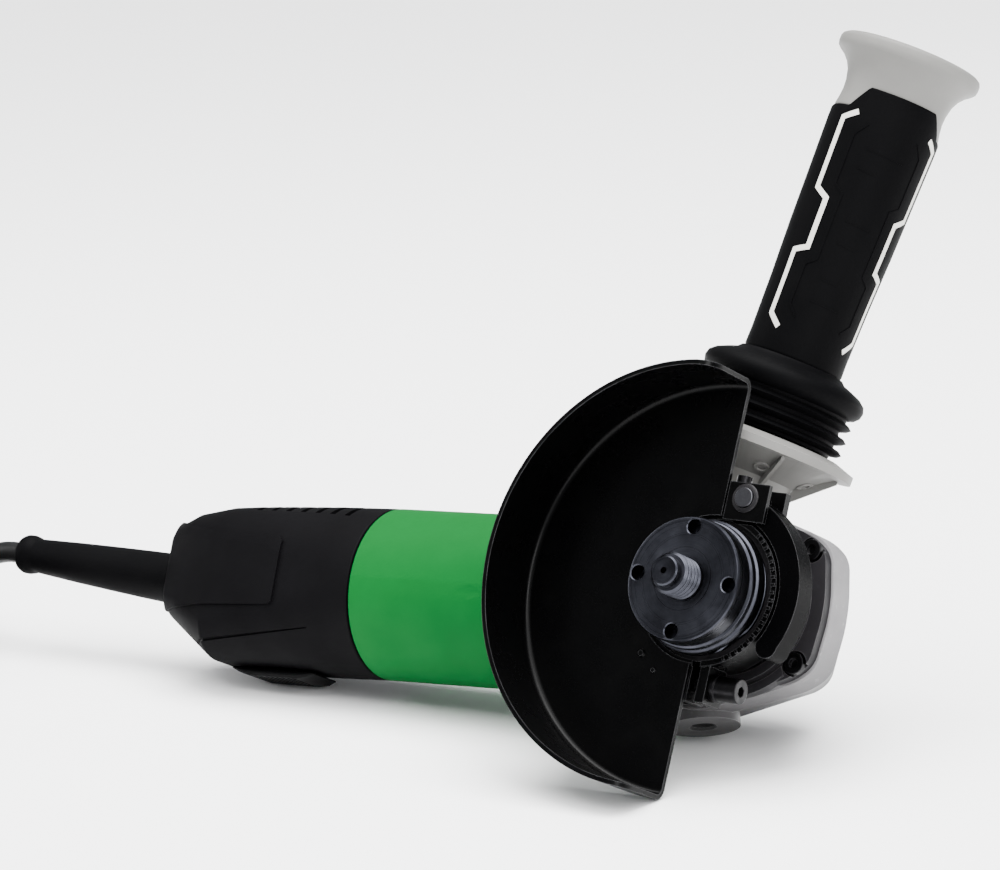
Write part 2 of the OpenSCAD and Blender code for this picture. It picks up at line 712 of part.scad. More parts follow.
module lever_pin() color("#8b8d92") posed() on_guard() translate([pivot[0], 0, pivot[1]]) {
    rod_y(-guard_plate - 1.6, -guard_plate, 3.4);
    rod_y(-guard_plate, -32.2, 2.48);
}

// ---- side handle ----

module handle_stud() color("#9a9ca0") posed() on_handle() translate([0, 0, 29]) cylinder(h = 46, r = 3.95);

module handle_base() color("#d9dadd") posed() {
    handle_turned([[4, 41.1], [13.5, 41.1], [16, 49], [28.4, 57], [base_r, 57.6], [base_r, 60.4],
        [27, 62.6], [12, 63.4], [4, 63.4]]);
    on_handle() for (a = [0 : 60 : 300]) rotate([0, 0, a + 20])
        rotate([90, 0, 0]) translate([0, 0, -0.6]) linear_extrude(1.2)
            polygon([[14.2, 44], [15, 43.6], [29.5, 56], [29.5, 57.5], [20, 57.5]]);
}

module handle_bellows() color("#17171a") posed() {
    handle_turned(concat(
        [[11, 63.5], [21, 63.5]],
        [for (s = bellows_ribs) each [[23, s - 1.6], [26.8, s - 0.8], [26.8, s + 0.8], [23, s + 1.6]]],
        [[25, 78], [27.9, 79.6], [28.6, 82], [27.4, 84.6], [22.5, 87],
            [18, 88.4], [18, 89.4], [11, 89.4]]));
}

module handle_grip() color("#151517") posed()
    handle_turned([[13, 89.5], [17.4, 89.5], [17.3, 96], [grip_r, 134], [grip_r + 0.9, 176.5], [13, 176.5]]);

module handle_core() color("#dcdde0") posed()
    handle_turned([[4, 64], [10.9, 64], [10.9, 89.45], [12.9, 89.6], [12.9, 176.6], [18.9, 176.6],
        [17.9, 183], [18.5, 188], [20.2, 192], [23.8, 195.5], [25, 197], [25, 200], [24, 201],
        [0, 201.4], [0, 76], [4, 76]]);

// ---- mains cord ----

function unit(v) = v / norm(v);
function tube_ring(p, along, r, sides) =
    let (side = unit(cross([0, 0, 1], along)), up = cross(along, side))
    [for (k = [0 : sides - 1]) p + r * (cos(k * 360 / sides) * side + sin(k * 360 / sides) * up)];

// A tube swept along a route, with one ring at each of its points
module tube(route, r, sides) {
    n = len(route);
    points = [for (i = [0 : n - 1])
        each tube_ring(route[i], unit(route[min(i + 1, n - 1)] - route[max(i - 1, 0)]), r, sides)];
    walls = [for (i = [0 : n - 2], k = [0 : sides - 1]) let (m = (k + 1) % sides)
        each [[i * sides + k, (i + 1) * sides + k, (i + 1) * sides + m],
            [i * sides + k, (i + 1) * sides + m, i * sides + m]]];
    ends = [[for (k = [0 : sides - 1]) k], [for (k = [0 : sides - 1]) n * sides - 1 - k]];
    polyhedron(points, concat(walls, ends));
}

module power_cord() color("#1b1b1d") tube(to_coil, cord_d / 2, 10);
module cord_end() color("#1b1b1d") tube(to_plug, cord_d / 2, 10);

module cord_coil() color("#202023") translate([coil_centre[0], coil_centre[1], 0]) rotate_extrude()
    translate([coil_in_r, 0]) square([coil_out_r - coil_in_r, coil_h]);

module on_plug() translate(plug_place) children();
module plug_body() color("#1b1b1d") on_plug() {
    rod_x(4, 14, 6);
    cone_x(14, 34, 9, 16);
    rod_x(34, 52, 17);
}
module plug_pins() color("#c9ccd1") on_plug() for (y = [-9.5, 9.5]) translate([0, y, 0]) rod_x(52, 71, 2.4);

motor_housing();
tail_cover();
gear_case();
bearing_cover();
bearing_cover_screws();
gear_case_screws();
tail_cover_screws();
fan_baffle();
stator_core();
stator_coils();
motor_shaft();
armature_core();
armature_windings();
commutator();
cooling_fan();
front_motor_bearing();
rear_motor_bearing();
rear_bearing_bush();
pinion_gear();
brush_holders();
carbon_brushes();
brush_springs();
switch_body();
switch_slider();
cord_clamp();
cord_clamp_screws();
cord_guard();
power_cord();
cord_coil();
cord_end();
plug_body();
plug_pins();
spindle();
bevel_gear();
spindle_bearing();
bearing_retainer();
spindle_bush();
dust_seal();
inner_flange();
lock_nut();
lock_button();
lock_pin();
lock_spring();
wheel_guard();
guard_collar();
clamp_screw();
clamp_nut();
tension_screw();
guard_lever();
lever_pin();
handle_stud();
handle_base();
handle_bellows();
handle_grip();
handle_core();
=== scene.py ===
import json
from math import atan2, cos, degrees, pi, radians, sin

import bmesh
import bpy
from mathutils import Matrix, Vector


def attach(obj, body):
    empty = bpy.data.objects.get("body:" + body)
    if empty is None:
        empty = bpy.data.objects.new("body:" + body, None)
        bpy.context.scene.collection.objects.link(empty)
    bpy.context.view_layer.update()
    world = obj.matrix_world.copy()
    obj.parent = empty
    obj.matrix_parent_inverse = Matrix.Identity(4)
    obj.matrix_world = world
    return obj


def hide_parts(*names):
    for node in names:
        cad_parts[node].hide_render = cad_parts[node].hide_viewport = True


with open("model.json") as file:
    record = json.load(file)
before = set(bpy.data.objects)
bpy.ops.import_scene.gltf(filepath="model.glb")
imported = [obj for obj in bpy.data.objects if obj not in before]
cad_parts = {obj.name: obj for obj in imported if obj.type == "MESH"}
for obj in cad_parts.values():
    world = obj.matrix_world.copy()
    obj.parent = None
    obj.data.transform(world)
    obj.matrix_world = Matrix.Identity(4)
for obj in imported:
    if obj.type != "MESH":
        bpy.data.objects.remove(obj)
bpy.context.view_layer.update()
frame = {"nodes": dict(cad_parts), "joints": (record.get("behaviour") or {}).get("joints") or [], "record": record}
cadNodes = frame["nodes"]
mm = 0.001

# The tool's own axes: x towards the gear head, z towards the side handle, y away from the disc
jointOf = {joint["name"]: joint for joint in frame["joints"]}
spindleJoint = jointOf["spindle_spin"]
motorAxis = Vector(jointOf["armature_spin"]["axis"]).normalized()
discAxis = -Vector(spindleJoint["axis"]).normalized()
handleSide = motorAxis.cross(discAxis)
toolMatrix = Matrix((motorAxis, discAxis, handleSide)).transposed().to_4x4()
toolMatrix = Matrix.Translation(spindleJoint["pos_m"]) @ toolMatrix @ Matrix.Scale(mm, 4)
spindleMatrix = Matrix.Rotation(radians(90), 4, "X")  # z runs out to the spindle's tip
motorMatrix = Matrix(((0, 0, 1, 0), (1, 0, 0, 0), (0, 1, 0, 0), (0, 0, 0, 1)))  # z runs forward
handleMatrix = Matrix.Translation((-26, -8, 0)) @ Matrix.Rotation(radians(14.45), 4, "Y")
print("frame loaded")


# Camera
view = {
    "place": (766.6, -1281.8, -239.4),  # in the tool's axes, mm
    "heading": 34.32,
    "down": 12.06,
    "roll": -3.0,
    "lens": 162.0,
}


def addCamera():
    bpy.ops.object.camera_add(location=toolMatrix @ Vector(view["place"]))
    camera = bpy.context.object
    camera.name = "camera"
    turn = Matrix.Rotation(radians(view["heading"]), 4, "Z")
    turn = turn @ Matrix.Rotation(radians(90 - view["down"]), 4, "X")
    turn = turn @ Matrix.Rotation(radians(view["roll"]), 4, "Z")
    camera.rotation_euler = turn.to_euler()
    camera.data.lens = view["lens"]
    camera.data.sensor_width = 36
    bpy.context.scene.camera = camera


addCamera()
print("camera placed")


# Materials
def newFinish(name, rough=0.5, metal=0.0, gloss=0.5):
    finish = bpy.data.materials.new(name)
    finish.use_nodes = True
    shader = finish.node_tree.nodes["Principled BSDF"]
    shader.inputs["Roughness"].default_value = rough
    shader.inputs["Metallic"].default_value = metal
    shader.inputs["Specular IOR Level"].default_value = gloss
    return finish


def addNode(finish, kind, inputs=None, **settings):
    node = finish.node_tree.nodes.new(kind)
    for name, value in settings.items():
        setattr(node, name, value)
    for name, value in (inputs or {}).items():
        if isinstance(value, bpy.types.NodeSocket):
            finish.node_tree.links.new(value, node.inputs[name])
        else:
            node.inputs[name].default_value = value
    return node


def toShader(finish, socket, name):
    shader = finish.node_tree.nodes["Principled BSDF"]
    finish.node_tree.links.new(socket, shader.inputs[name])


def ownPoint(finish):
    return addNode(finish, "ShaderNodeTexCoord").outputs["Object"]


def speckle(finish, scale, detail=4.0, point=None, roughness=0.55):
    point = point or ownPoint(finish)
    inputs = {"Vector": point, "Scale": scale, "Detail": detail, "Roughness": roughness}
    return addNode(finish, "ShaderNodeTexNoise", inputs).outputs["Fac"]


def spread(finish, factor, low, high, toLow=0.0, toHigh=1.0):
    inputs = {"Value": factor, "From Min": low, "From Max": high, "To Min": toLow, "To Max": toHigh}
    return addNode(finish, "ShaderNodeMapRange", inputs).outputs["Result"]


def twoColours(finish, factor, first, second):
    node = addNode(finish, "ShaderNodeMix", data_type="RGBA")
    finish.node_tree.links.new(factor, node.inputs[0])
    for place, colour in ((6, first), (7, second)):
        if isinstance(colour, bpy.types.NodeSocket):
            finish.node_tree.links.new(colour, node.inputs[place])
        else:
            node.inputs[place].default_value = (*colour, 1)
    return node.outputs[2]


def relief(finish, height, strength, distance, under=None):
    inputs = {"Height": height, "Strength": strength, "Distance": distance}
    if under:
        inputs["Normal"] = under
    return addNode(finish, "ShaderNodeBump", inputs).outputs["Normal"]


def combine(finish, how, first, second=0.0):
    node = addNode(finish, "ShaderNodeMath", operation=how)
    for place, value in enumerate((first, second)):
        if isinstance(value, bpy.types.NodeSocket):
            finish.node_tree.links.new(value, node.inputs[place])
        else:
            node.inputs[place].default_value = value
    return node.outputs["Value"]


def paintedEdgeHighlight(finish, tone, bright, width=0.0004, amount=0.45):
    # Painted highlight: corners and rims are given a lighter tone, in patches
    rounded = addNode(finish, "ShaderNodeBevel", {"Radius": width}, samples=6).outputs["Normal"]
    flat = addNode(finish, "ShaderNodeNewGeometry").outputs["Normal"]
    inputs = {0: rounded, 1: flat}
    same = addNode(finish, "ShaderNodeVectorMath", inputs, operation="DOT_PRODUCT").outputs["Value"]
    rimHighlight = spread(finish, same, 0.985, 0.86, 0.0, amount)
    patchy = spread(finish, speckle(finish, 140.0, 5.0), 0.3, 0.6, 0.35, 1.0)
    return twoColours(finish, combine(finish, "MULTIPLY", rimHighlight, patchy), tone, bright)


def moulded(name, colour, shade, rough, grain=1500.0, depth=0.00004, gloss=0.3):
    # A moulded plastic: fine spark-eroded texture, faint patches and scuffs
    finish = newFinish(name, gloss=gloss)
    patches = speckle(finish, 28.0, 6.0)
    tone = twoColours(finish, spread(finish, patches, 0.35, 0.65), colour, shade)
    fine = speckle(finish, grain, 2.0)
    tone = twoColours(finish, spread(finish, fine, 0.3, 0.9, 0.0, 0.35), tone, shade)
    toShader(finish, tone, "Base Color")
    scuffs = speckle(finish, 60.0, 5.0)
    toShader(finish, spread(finish, scuffs, 0.3, 0.7, rough - 0.06, rough + 0.08), "Roughness")
    toShader(finish, relief(finish, fine, 0.35, depth), "Normal")
    return finish


def painted(name, colour, shade, rough, grain=700.0, depth=0.00005, gloss=0.4, bright=None, grimeAndShade=None):
    finish = newFinish(name, gloss=gloss)  # paint with its orange peel and dust, and a painted highlight along its edges
    patches = speckle(finish, 45.0, 6.0)
    tone = twoColours(finish, spread(finish, patches, 0.35, 0.65), colour, shade)
    dust = spread(finish, speckle(finish, 420.0, 5.0), 0.62, 0.75, 0.0, 0.35)
    tone = twoColours(finish, dust, tone, tuple(2.2 * part for part in colour))
    if grimeAndShade:  # painted shade: the colour darkens towards the underside
        height = addNode(finish, "ShaderNodeSeparateXYZ", {"Vector": ownPoint(finish)}).outputs["Z"]
        uneven = combine(finish, "ADD", height, combine(finish, "MULTIPLY", patches, 0.012))
        tone = twoColours(finish, spread(finish, uneven, 0.05, 0.014, 0.0, 0.95), tone, grimeAndShade)
    # rims and corners get a painted highlight when a bright colour is given
    toShader(finish, paintedEdgeHighlight(finish, tone, bright) if bright else tone, "Base Color")
    smears = speckle(finish, 90.0, 6.0)
    toShader(finish, spread(finish, smears, 0.3, 0.7, rough - 0.05, rough + 0.09), "Roughness")
    toShader(finish, relief(finish, speckle(finish, grain, 3.0), 0.3, depth), "Normal")
    return finish


def turnedMetal(name, colour, shade, rough, rings=2600.0, axis=None):
    finish = newFinish(name, metal=1.0)  # metal cut on a lathe: fine rings round its axis
    inputs = {0: ownPoint(finish), 1: tuple(spindleJoint["pos_m"])}
    offset = addNode(finish, "ShaderNodeVectorMath", inputs, operation="SUBTRACT").outputs[0]
    inputs = {0: offset, 1: tuple(axis or discAxis)}
    along = addNode(finish, "ShaderNodeVectorMath", inputs, operation="DOT_PRODUCT").outputs["Value"]
    reach = addNode(finish, "ShaderNodeVectorMath", {0: offset}, operation="LENGTH").outputs["Value"]
    reachSquared = combine(finish, "POWER", reach, 2.0)
    square = combine(finish, "SUBTRACT", reachSquared, combine(finish, "POWER", along, 2.0))
    radius = combine(finish, "SQRT", combine(finish, "ABSOLUTE", square))
    ringPoint = addNode(finish, "ShaderNodeCombineXYZ", {"X": radius, "Y": along}).outputs[0]
    lines = speckle(finish, rings, 2.0, ringPoint)
    stain = speckle(finish, 120.0, 6.0)
    tone = twoColours(finish, spread(finish, stain, 0.35, 0.65), colour, shade)
    tone = twoColours(finish, spread(finish, lines, 0.45, 0.7, 0.0, 0.5), tone, shade)
    toShader(finish, tone, "Base Color")
    toShader(finish, spread(finish, lines, 0.3, 0.7, rough - 0.06, rough + 0.1), "Roughness")
    toShader(finish, relief(finish, lines, 0.4, 0.00003), "Normal")
    inputs = {0: offset, 1: tuple(axis or discAxis)}
    around = addNode(finish, "ShaderNodeVectorMath", inputs, operation="CROSS_PRODUCT").outputs[0]
    toShader(finish, around, "Tangent")
    finish.node_tree.nodes["Principled BSDF"].inputs["Anisotropic"].default_value = 0.7
    return finish


def bandedMetal(name, colour, shade, rough, width, axis):
    finish = newFinish(name, metal=1.0)  # thin layers or wires, one after another along an axis
    inputs = {0: ownPoint(finish), 1: tuple(axis)}
    along = addNode(finish, "ShaderNodeVectorMath", inputs, operation="DOT_PRODUCT").outputs["Value"]
    wave = combine(finish, "SINE", combine(finish, "MULTIPLY", along, 2 * pi / width))
    grimeAndShade = combine(finish, "MULTIPLY", speckle(finish, 160.0, 5.0), 0.8)
    level = spread(finish, combine(finish, "ADD", wave, grimeAndShade), -0.6, 1.4)
    toShader(finish, twoColours(finish, level, shade, colour), "Base Color")
    toShader(finish, spread(finish, grimeAndShade, 0.2, 0.6, rough - 0.05, rough + 0.1), "Roughness")
    toShader(finish, relief(finish, wave, 0.5, width * 0.2), "Normal")
    return finish


def platedMetal(name, colour, shade, rough, grain=350.0):
    finish = newFinish(name, metal=1.0)
    patches = speckle(finish, grain, 6.0)
    toShader(finish, twoColours(finish, spread(finish, patches, 0.35, 0.7), colour, shade), "Base Color")
    toShader(finish, spread(finish, patches, 0.3, 0.7, rough - 0.05, rough + 0.08), "Roughness")
    toShader(finish, relief(finish, speckle(finish, 1800.0, 2.0), 0.3, 0.00003), "Normal")
    return finish


def rubberFinish(name, colour, dust, rough, gloss=0.02):
    finish = newFinish(name, gloss=gloss)
    patches = speckle(finish, 40.0, 7.0)
    fine = speckle(finish, 1300.0, 2.0)
    tone = twoColours(finish, spread(finish, patches, 0.45, 0.8, 0.0, 0.6), colour, dust)
    toShader(finish, tone, "Base Color")
    toShader(finish, spread(finish, patches, 0.3, 0.7, rough - 0.05, rough + 0.1), "Roughness")
    toShader(finish, relief(finish, fine, 0.4, 0.00004), "Normal")
    return finish


# The lighter rim colours given to the castings, the guard and the lever are painted highlights along their edges
finishes = {
    "housing_green": moulded(
        "greenHousing", (0.0006, 0.082, 0.0145), (0.0004, 0.069, 0.0115), 0.5, gloss=0.03),
    "dark_plastic": moulded(
        "tailPlastic", (0.0026, 0.0025, 0.0029), (0.0018, 0.0017, 0.002), 0.55, gloss=0.02),
    "slider_plastic": moulded(
        "sliderPlastic", (0.0016, 0.0016, 0.0018), (0.0012, 0.0012, 0.0013), 0.45, gloss=0.04),
    # The head casting also gets painted shade, its colour darkening towards the underside
    "cast_grey": painted(
        "headCasting", (0.15, 0.146, 0.15), (0.12, 0.116, 0.12), 0.42, grain=900.0, depth=0.00008, gloss=0.15,
        bright=(0.3, 0.295, 0.3), grimeAndShade=(0.005, 0.0049, 0.005)),
    "cast_dark": painted(
        "coverCasting", (0.0105, 0.0098, 0.011), (0.007, 0.0067, 0.0075), 0.36, grain=900.0, depth=0.00008,
        gloss=0.1, bright=(0.12, 0.117, 0.12)),
    "black_screw": platedMetal("blackScrew", (0.014, 0.0135, 0.0145), (0.006, 0.006, 0.0065), 0.36),
    "zinc_steel": platedMetal("zincSteel", (0.06, 0.06, 0.066), (0.035, 0.035, 0.039), 0.36),
    "white_nylon": moulded("whiteNylon", (0.6, 0.59, 0.55), (0.52, 0.51, 0.47), 0.5),
    "core_steel": bandedMetal(
        "coreLaminations", (0.3, 0.31, 0.33), (0.08, 0.08, 0.09), 0.45, 0.001, motorAxis),
    "copper_wire": bandedMetal("windingWire", (0.6, 0.24, 0.1), (0.2, 0.06, 0.02), 0.35, 0.0012, handleSide),
    "bearing_steel": turnedMetal(
        "bearingSteel", (0.58, 0.59, 0.6), (0.36, 0.37, 0.38), 0.25, axis=motorAxis),
    "gear_steel": platedMetal("gearSteel", (0.26, 0.27, 0.29), (0.15, 0.15, 0.16), 0.36),
    "brass": bandedMetal("brushBrass", (0.6, 0.42, 0.14), (0.36, 0.24, 0.07), 0.3, 0.0025, discAxis),
    "carbon": moulded("brushCarbon", (0.04, 0.04, 0.042), (0.02, 0.02, 0.021), 0.6),
    "rubber": rubberFinish("gripRubber", (0.0012, 0.0012, 0.0014), (0.0022, 0.0022, 0.0024), 0.55),
    "cord_sheath": rubberFinish(
        "cordSheath", (0.004, 0.004, 0.0042), (0.0075, 0.0075, 0.0078), 0.38, gloss=0.12),
    "nickel": platedMetal("plugNickel", (0.68, 0.66, 0.62), (0.5, 0.49, 0.46), 0.2),
    "dark_steel": turnedMetal("bluedSteel", (0.034, 0.0353, 0.043), (0.015, 0.0155, 0.0195), 0.3),
    "guard_paint": painted(
        "guardPaint", (0.0005, 0.0005, 0.00055), (0.0004, 0.0004, 0.00045), 0.27, depth=0.00003, gloss=0.06,
        bright=(0.1, 0.1, 0.105)),
    "lever_paint": painted(
        "leverPaint", (0.0006, 0.0006, 0.0007), (0.0005, 0.0005, 0.0006), 0.24, depth=0.00002,
        gloss=0.02, bright=(0.12, 0.12, 0.125)),
    "handle_white": moulded("handleWhite", (0.15, 0.148, 0.141), (0.13, 0.128, 0.122), 0.45, gloss=0.08),
}
slotName = {}
for nodeName, cadNode in cadNodes.items():
    slotName[nodeName] = cadNode.data.materials[0].name.split(".")[0]
    cadNode.data.materials.clear()
    cadNode.data.materials.append(finishes[slotName[nodeName]])
print("materials made")


# Modelling helpers
def only(piece):
    if bpy.context.object and bpy.context.object.mode != "OBJECT":
        bpy.ops.object.mode_set(mode="OBJECT")
    bpy.ops.object.select_all(action="DESELECT")
    piece.select_set(True)
    bpy.context.view_layer.objects.active = piece
    return piece


def nothingSelected():
    if bpy.context.object and bpy.context.object.mode != "OBJECT":
        bpy.ops.object.mode_set(mode="OBJECT")
    bpy.ops.object.select_all(action="DESELECT")


def started(name):
    piece = bpy.context.object
    piece.name = name
    piece.data.name = name
    return piece


def edit(piece, select="SELECT"):
    only(piece)
    bpy.ops.object.mode_set(mode="EDIT")
    bpy.ops.mesh.select_mode(type="VERT")
    bpy.ops.mesh.select_all(action=select)


def pickFaces(piece, test):
    bpy.ops.mesh.select_mode(type="FACE")
    shape = bmesh.from_edit_mesh(piece.data)
    for face in shape.faces:
        face.select_set(bool(test(face.calc_center_median(), face.normal)))
    shape.select_flush_mode()
    bmesh.update_edit_mesh(piece.data)


def done():
    bpy.ops.object.mode_set(mode="OBJECT")


def applyAll(piece):
    only(piece)
    for modifier in list(piece.modifiers):
        bpy.ops.object.modifier_apply(modifier=modifier.name)
    return piece


def softenEdges(piece, width, segments=2, angle=32.0):
    bevel = piece.modifiers.new("edges", "BEVEL")
    bevel.width = width
    bevel.segments = segments
    bevel.limit_method = "ANGLE"
    bevel.angle_limit = radians(angle)
    return applyAll(piece)


def smooth(piece, angle=38.0):
    only(piece)
    bpy.ops.object.shade_smooth_by_angle(angle=radians(angle))
    weighted = piece.modifiers.new("even", "WEIGHTED_NORMAL")
    weighted.keep_sharp = True
    return applyAll(piece)


def carve(piece, other, how):
    change = piece.modifiers.new("boolean", "BOOLEAN")
    change.operation = how
    change.solver = "EXACT"
    change.object = other
    applyAll(piece)
    bpy.data.objects.remove(other)
    return piece


def cut(piece, *cutters):
    for cutter in cutters:
        carve(piece, cutter, "DIFFERENCE")
    return piece


def add(piece, *others):
    for other in others:
        carve(piece, other, "UNION")
    return piece


def settle(piece, matrix):
    piece.data.transform(matrix)
    piece.data.update()
    return piece


def place(piece, matrix=Matrix.Identity(4)):
    return settle(piece, toolMatrix @ matrix)


def flipped(piece):
    edit(piece)
    bpy.ops.mesh.normals_make_consistent(inside=False)
    done()
    return piece


def bar(name, low, high):
    nothingSelected()
    low, high = Vector(low), Vector(high)
    bpy.ops.mesh.primitive_cube_add(size=1)
    piece = started(name)
    return settle(piece, Matrix.Translation((low + high) / 2) @ Matrix.Diagonal((*(high - low), 1)))


def rod(name, radius, low, high, vertices=64, at=(0, 0), topRadius=None):
    nothingSelected()
    top = radius if topRadius is None else topRadius
    bpy.ops.mesh.primitive_cone_add(vertices=vertices, radius1=radius, radius2=top, depth=high - low)
    return settle(started(name), Matrix.Translation((*at, (low + high) / 2)))


def turned(name, profile, vertices=96, closed=False):
    nothingSelected()  # a ring drawn out and resized along its axis, point by point
    radius, height = profile[0]
    bpy.ops.mesh.primitive_circle_add(vertices=vertices, radius=radius)
    piece = settle(started(name), Matrix.Translation((0, 0, height)))
    edit(piece)
    steps = profile[1:] + ([profile[0]] if closed else [])
    for nextRadius, nextHeight in steps:
        bpy.ops.mesh.extrude_edges_move(TRANSFORM_OT_translate={"value": (0, 0, nextHeight - height)})
        size = nextRadius / radius
        bpy.ops.transform.resize(value=(size, size, 1), center_override=(0, 0, nextHeight))
        radius, height = nextRadius, nextHeight
    bpy.ops.mesh.select_all(action="SELECT")
    bpy.ops.mesh.remove_doubles(threshold=0.002)
    bpy.ops.mesh.fill_holes(sides=0)
    bpy.ops.mesh.select_all(action="SELECT")
    bpy.ops.mesh.normals_make_consistent(inside=False)
    done()
    return piece


def lofted(name, rings, segments=10):
    nothingSelected()  # round-cornered squares across z, bridged into one skin
    bpy.ops.mesh.primitive_plane_add(size=1)
    piece = started(name)
    edit(piece)
    bpy.ops.mesh.delete(type="VERT")
    for along, halfWidth, top, bottom, radius in rings:
        bpy.ops.mesh.primitive_plane_add(size=1)
        bpy.ops.transform.resize(value=(2 * halfWidth, top - bottom, 1), center_override=(0, 0, 0))
        bpy.ops.transform.translate(value=(0, (top + bottom) / 2, along))
        bpy.ops.mesh.bevel(offset=radius, segments=segments, affect="VERTICES")
        bpy.ops.mesh.delete(type="ONLY_FACE")
    bpy.ops.mesh.select_all(action="SELECT")
    bpy.ops.mesh.bridge_edge_loops()
    bpy.ops.mesh.select_all(action="SELECT")
    bpy.ops.mesh.fill_holes(sides=0)
    bpy.ops.mesh.select_all(action="SELECT")
    bpy.ops.mesh.normals_make_consistent(inside=False)
    done()
    return piece


def joined(pieces, name):
    nothingSelected()
    for piece in pieces:
        piece.select_set(True)
    bpy.context.view_layer.objects.active = pieces[0]
    bpy.ops.object.join()
    return started(name)


def copyOf(piece, name):
    copy = bpy.data.objects.new(name, piece.data.copy())
    bpy.context.scene.collection.objects.link(copy)
    return copy


def prism(name, outline, low, high, cornerRadius=0.0, segments=4):
    nothingSelected()  # an outline in x and y, drawn out along z
    bpy.ops.mesh.primitive_circle_add(vertices=len(outline), radius=1, fill_type="NGON")
    piece = started(name)
    for vertex, (x, y) in zip(piece.data.vertices, outline):
        vertex.co = (x, y, low)
    edit(piece)
    if cornerRadius:
        bpy.ops.mesh.bevel(offset=cornerRadius, segments=segments, affect="VERTICES")
        bpy.ops.mesh.select_all(action="SELECT")
    bpy.ops.mesh.extrude_region_move(TRANSFORM_OT_translate={"value": (0, 0, high - low)})
    bpy.ops.mesh.select_all(action="SELECT")
    bpy.ops.mesh.normals_make_consistent(inside=False)
    done()
    return piece


bodyOf = {}
for bodyName, members in frame["record"]["behaviour"]["bodies"].items():
    for nodeName in members:
        bodyOf[nodeName] = bodyName


def finished(piece, node, body=None, slot=None, others=(), angle=38.0, stands=True):
    smooth(piece, angle)
    slot = slot or slotName[node]
    piece.data.materials.clear()
    piece.data.materials.append(finishes[slot])
    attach(piece, body or bodyOf[node])
    if stands:
        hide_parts(node, *others)
    return piece


def softened(node, name, width, segments=2):
    piece = copyOf(cadNodes[node], name)  # a copy of the plain piece, merged, with its edges rounded
    edit(piece)
    bpy.ops.mesh.remove_doubles(threshold=0.00001)
    bpy.ops.mesh.dissolve_limited(angle_limit=radians(1.5))
    done()
    softenEdges(piece, width * mm, segments)
    return finished(piece, node)


plainPieces = {  # width of the rounded edges, mm
    "bearing_cover_screws": ("coverScrews", 0.3),
    "gear_case_screws": ("caseScrews", 0.3),
    "tail_cover_screws": ("tailScrews", 0.3),
    "guard_collar": ("guardCollar", 0.45),
    "clamp_screw": ("clampScrew", 0.3),
    "clamp_nut": ("clampNut", 0.3),
    "tension_screw": ("tensionScrew", 0.3),
    "lever_pin": ("leverPin", 0.4),
    "guard_lever": ("guardLever", 1.7),
    "handle_base": ("handleBase", 0.6),
    "lock_button": ("lockButton", 0.5),
    "plug_pins": ("plugPins", 0.4),
}
for nodeName, (pieceName, width) in plainPieces.items():
    softened(nodeName, pieceName, width, 3 if nodeName == "guard_lever" else 2)
print("small pieces rounded")


# Plug
plug = {
    "profile": [  # a ribbed sleeve, then the cone and the head
        (4.05, 4), (5.6, 4), (6, 4.6), (6, 7), (5.4, 7.4), (5.4, 8.6), (6, 9), (6, 11), (5.4, 11.4),
        (5.4, 12.6), (6, 13), (6.3, 14), (9, 14.8), (12.2, 22), (15.4, 32), (16.4, 34.6), (17, 36.5),
        (17, 50.6), (16.4, 51.8), (15.6, 52),
    ],
    "place": (-204, -118, 17),
}


def plugBody():
    piece = turned("plugBody", plug["profile"], 80)
    lying = Matrix(((0, 0, 1, 0), (0, 1, 0, 0), (-1, 0, 0, 0), (0, 0, 0, 1)))
    settle(piece, Matrix.Translation(plug["place"]) @ lying)
    settle(piece, Matrix.Scale(mm, 4))
    return finished(piece, "plug_body", angle=40)


# Cord
cordSize = {
    "diameter": 8.0,
    "length": 2300.0,
    "coilCentre": (-240.0, -48.0),
    "outerRadius": 50.0,
    "innerRadius": 42.0,
    "layers": (28.0, 20.0, 12.0, 4.0),
    "stepAngle": 90.0,
    "stepLead": 20.0,
    "leaveAngle": 240.0,
}
exitPoint = (-184.135, 0.17, 35.6)
toCoil = [exitPoint, (-192, 0.5, 35.5), (-201, 1.2, 33.5), (-211.4, 2, 30.5), (-225, 2, 28.8)]
tieShape = {  # a strap round all the turns, in radius and height
    "outer": [(37.4, 0.1), (54.7, 0.1), (54.7, 32.8), (37.4, 32.8)],
    "inner": [(38.3, 0.9), (53.8, 0.9), (53.8, 31.9), (38.3, 31.9)],
    "corner": 3.4,
    "innerCornerLess": 0.6,
    "width": 6.0,
    "heading": 250.0,
}
toPlug = [
    (-253, -98.6, 4), (-241, -105.5, 4), (-232, -110, 4.8), (-223, -113.8, 7.5),
    (-214, -116.6, 11.5), (-206, -117.8, 15), (-200, -118, 17),
]


def coilTurns():
    slots = []  # radius and height of each turn, the way that the cord is wound
    for number, height in enumerate(cordSize["layers"]):
        pair = [cordSize["outerRadius"], cordSize["innerRadius"]]
        for radius in pair if number % 2 == 0 else reversed(pair):
            slots.append((radius, height))
    points = []
    total = 360 * (len(slots) - 1) + cordSize["leaveAngle"] - 90
    for angle in range(0, int(total) + 1, 15):
        turn = int(angle // 360)
        nextTurn = min(turn + 1, len(slots) - 1)
        begin = 360 - cordSize["stepAngle"] - turn * cordSize["stepLead"]
        part = min(max((angle % 360 - begin) / cordSize["stepAngle"], 0), 1)
        part = part * part * (3 - 2 * part)
        radius = slots[turn][0] + part * (slots[nextTurn][0] - slots[turn][0])
        height = slots[turn][1] + part * (slots[nextTurn][1] - slots[turn][1])
        heading = radians(90 + angle)
        x = cordSize["coilCentre"][0] + radius * cos(heading)
        y = cordSize["coilCentre"][1] + radius * sin(heading)
        points.append((x, y, height))
    return points


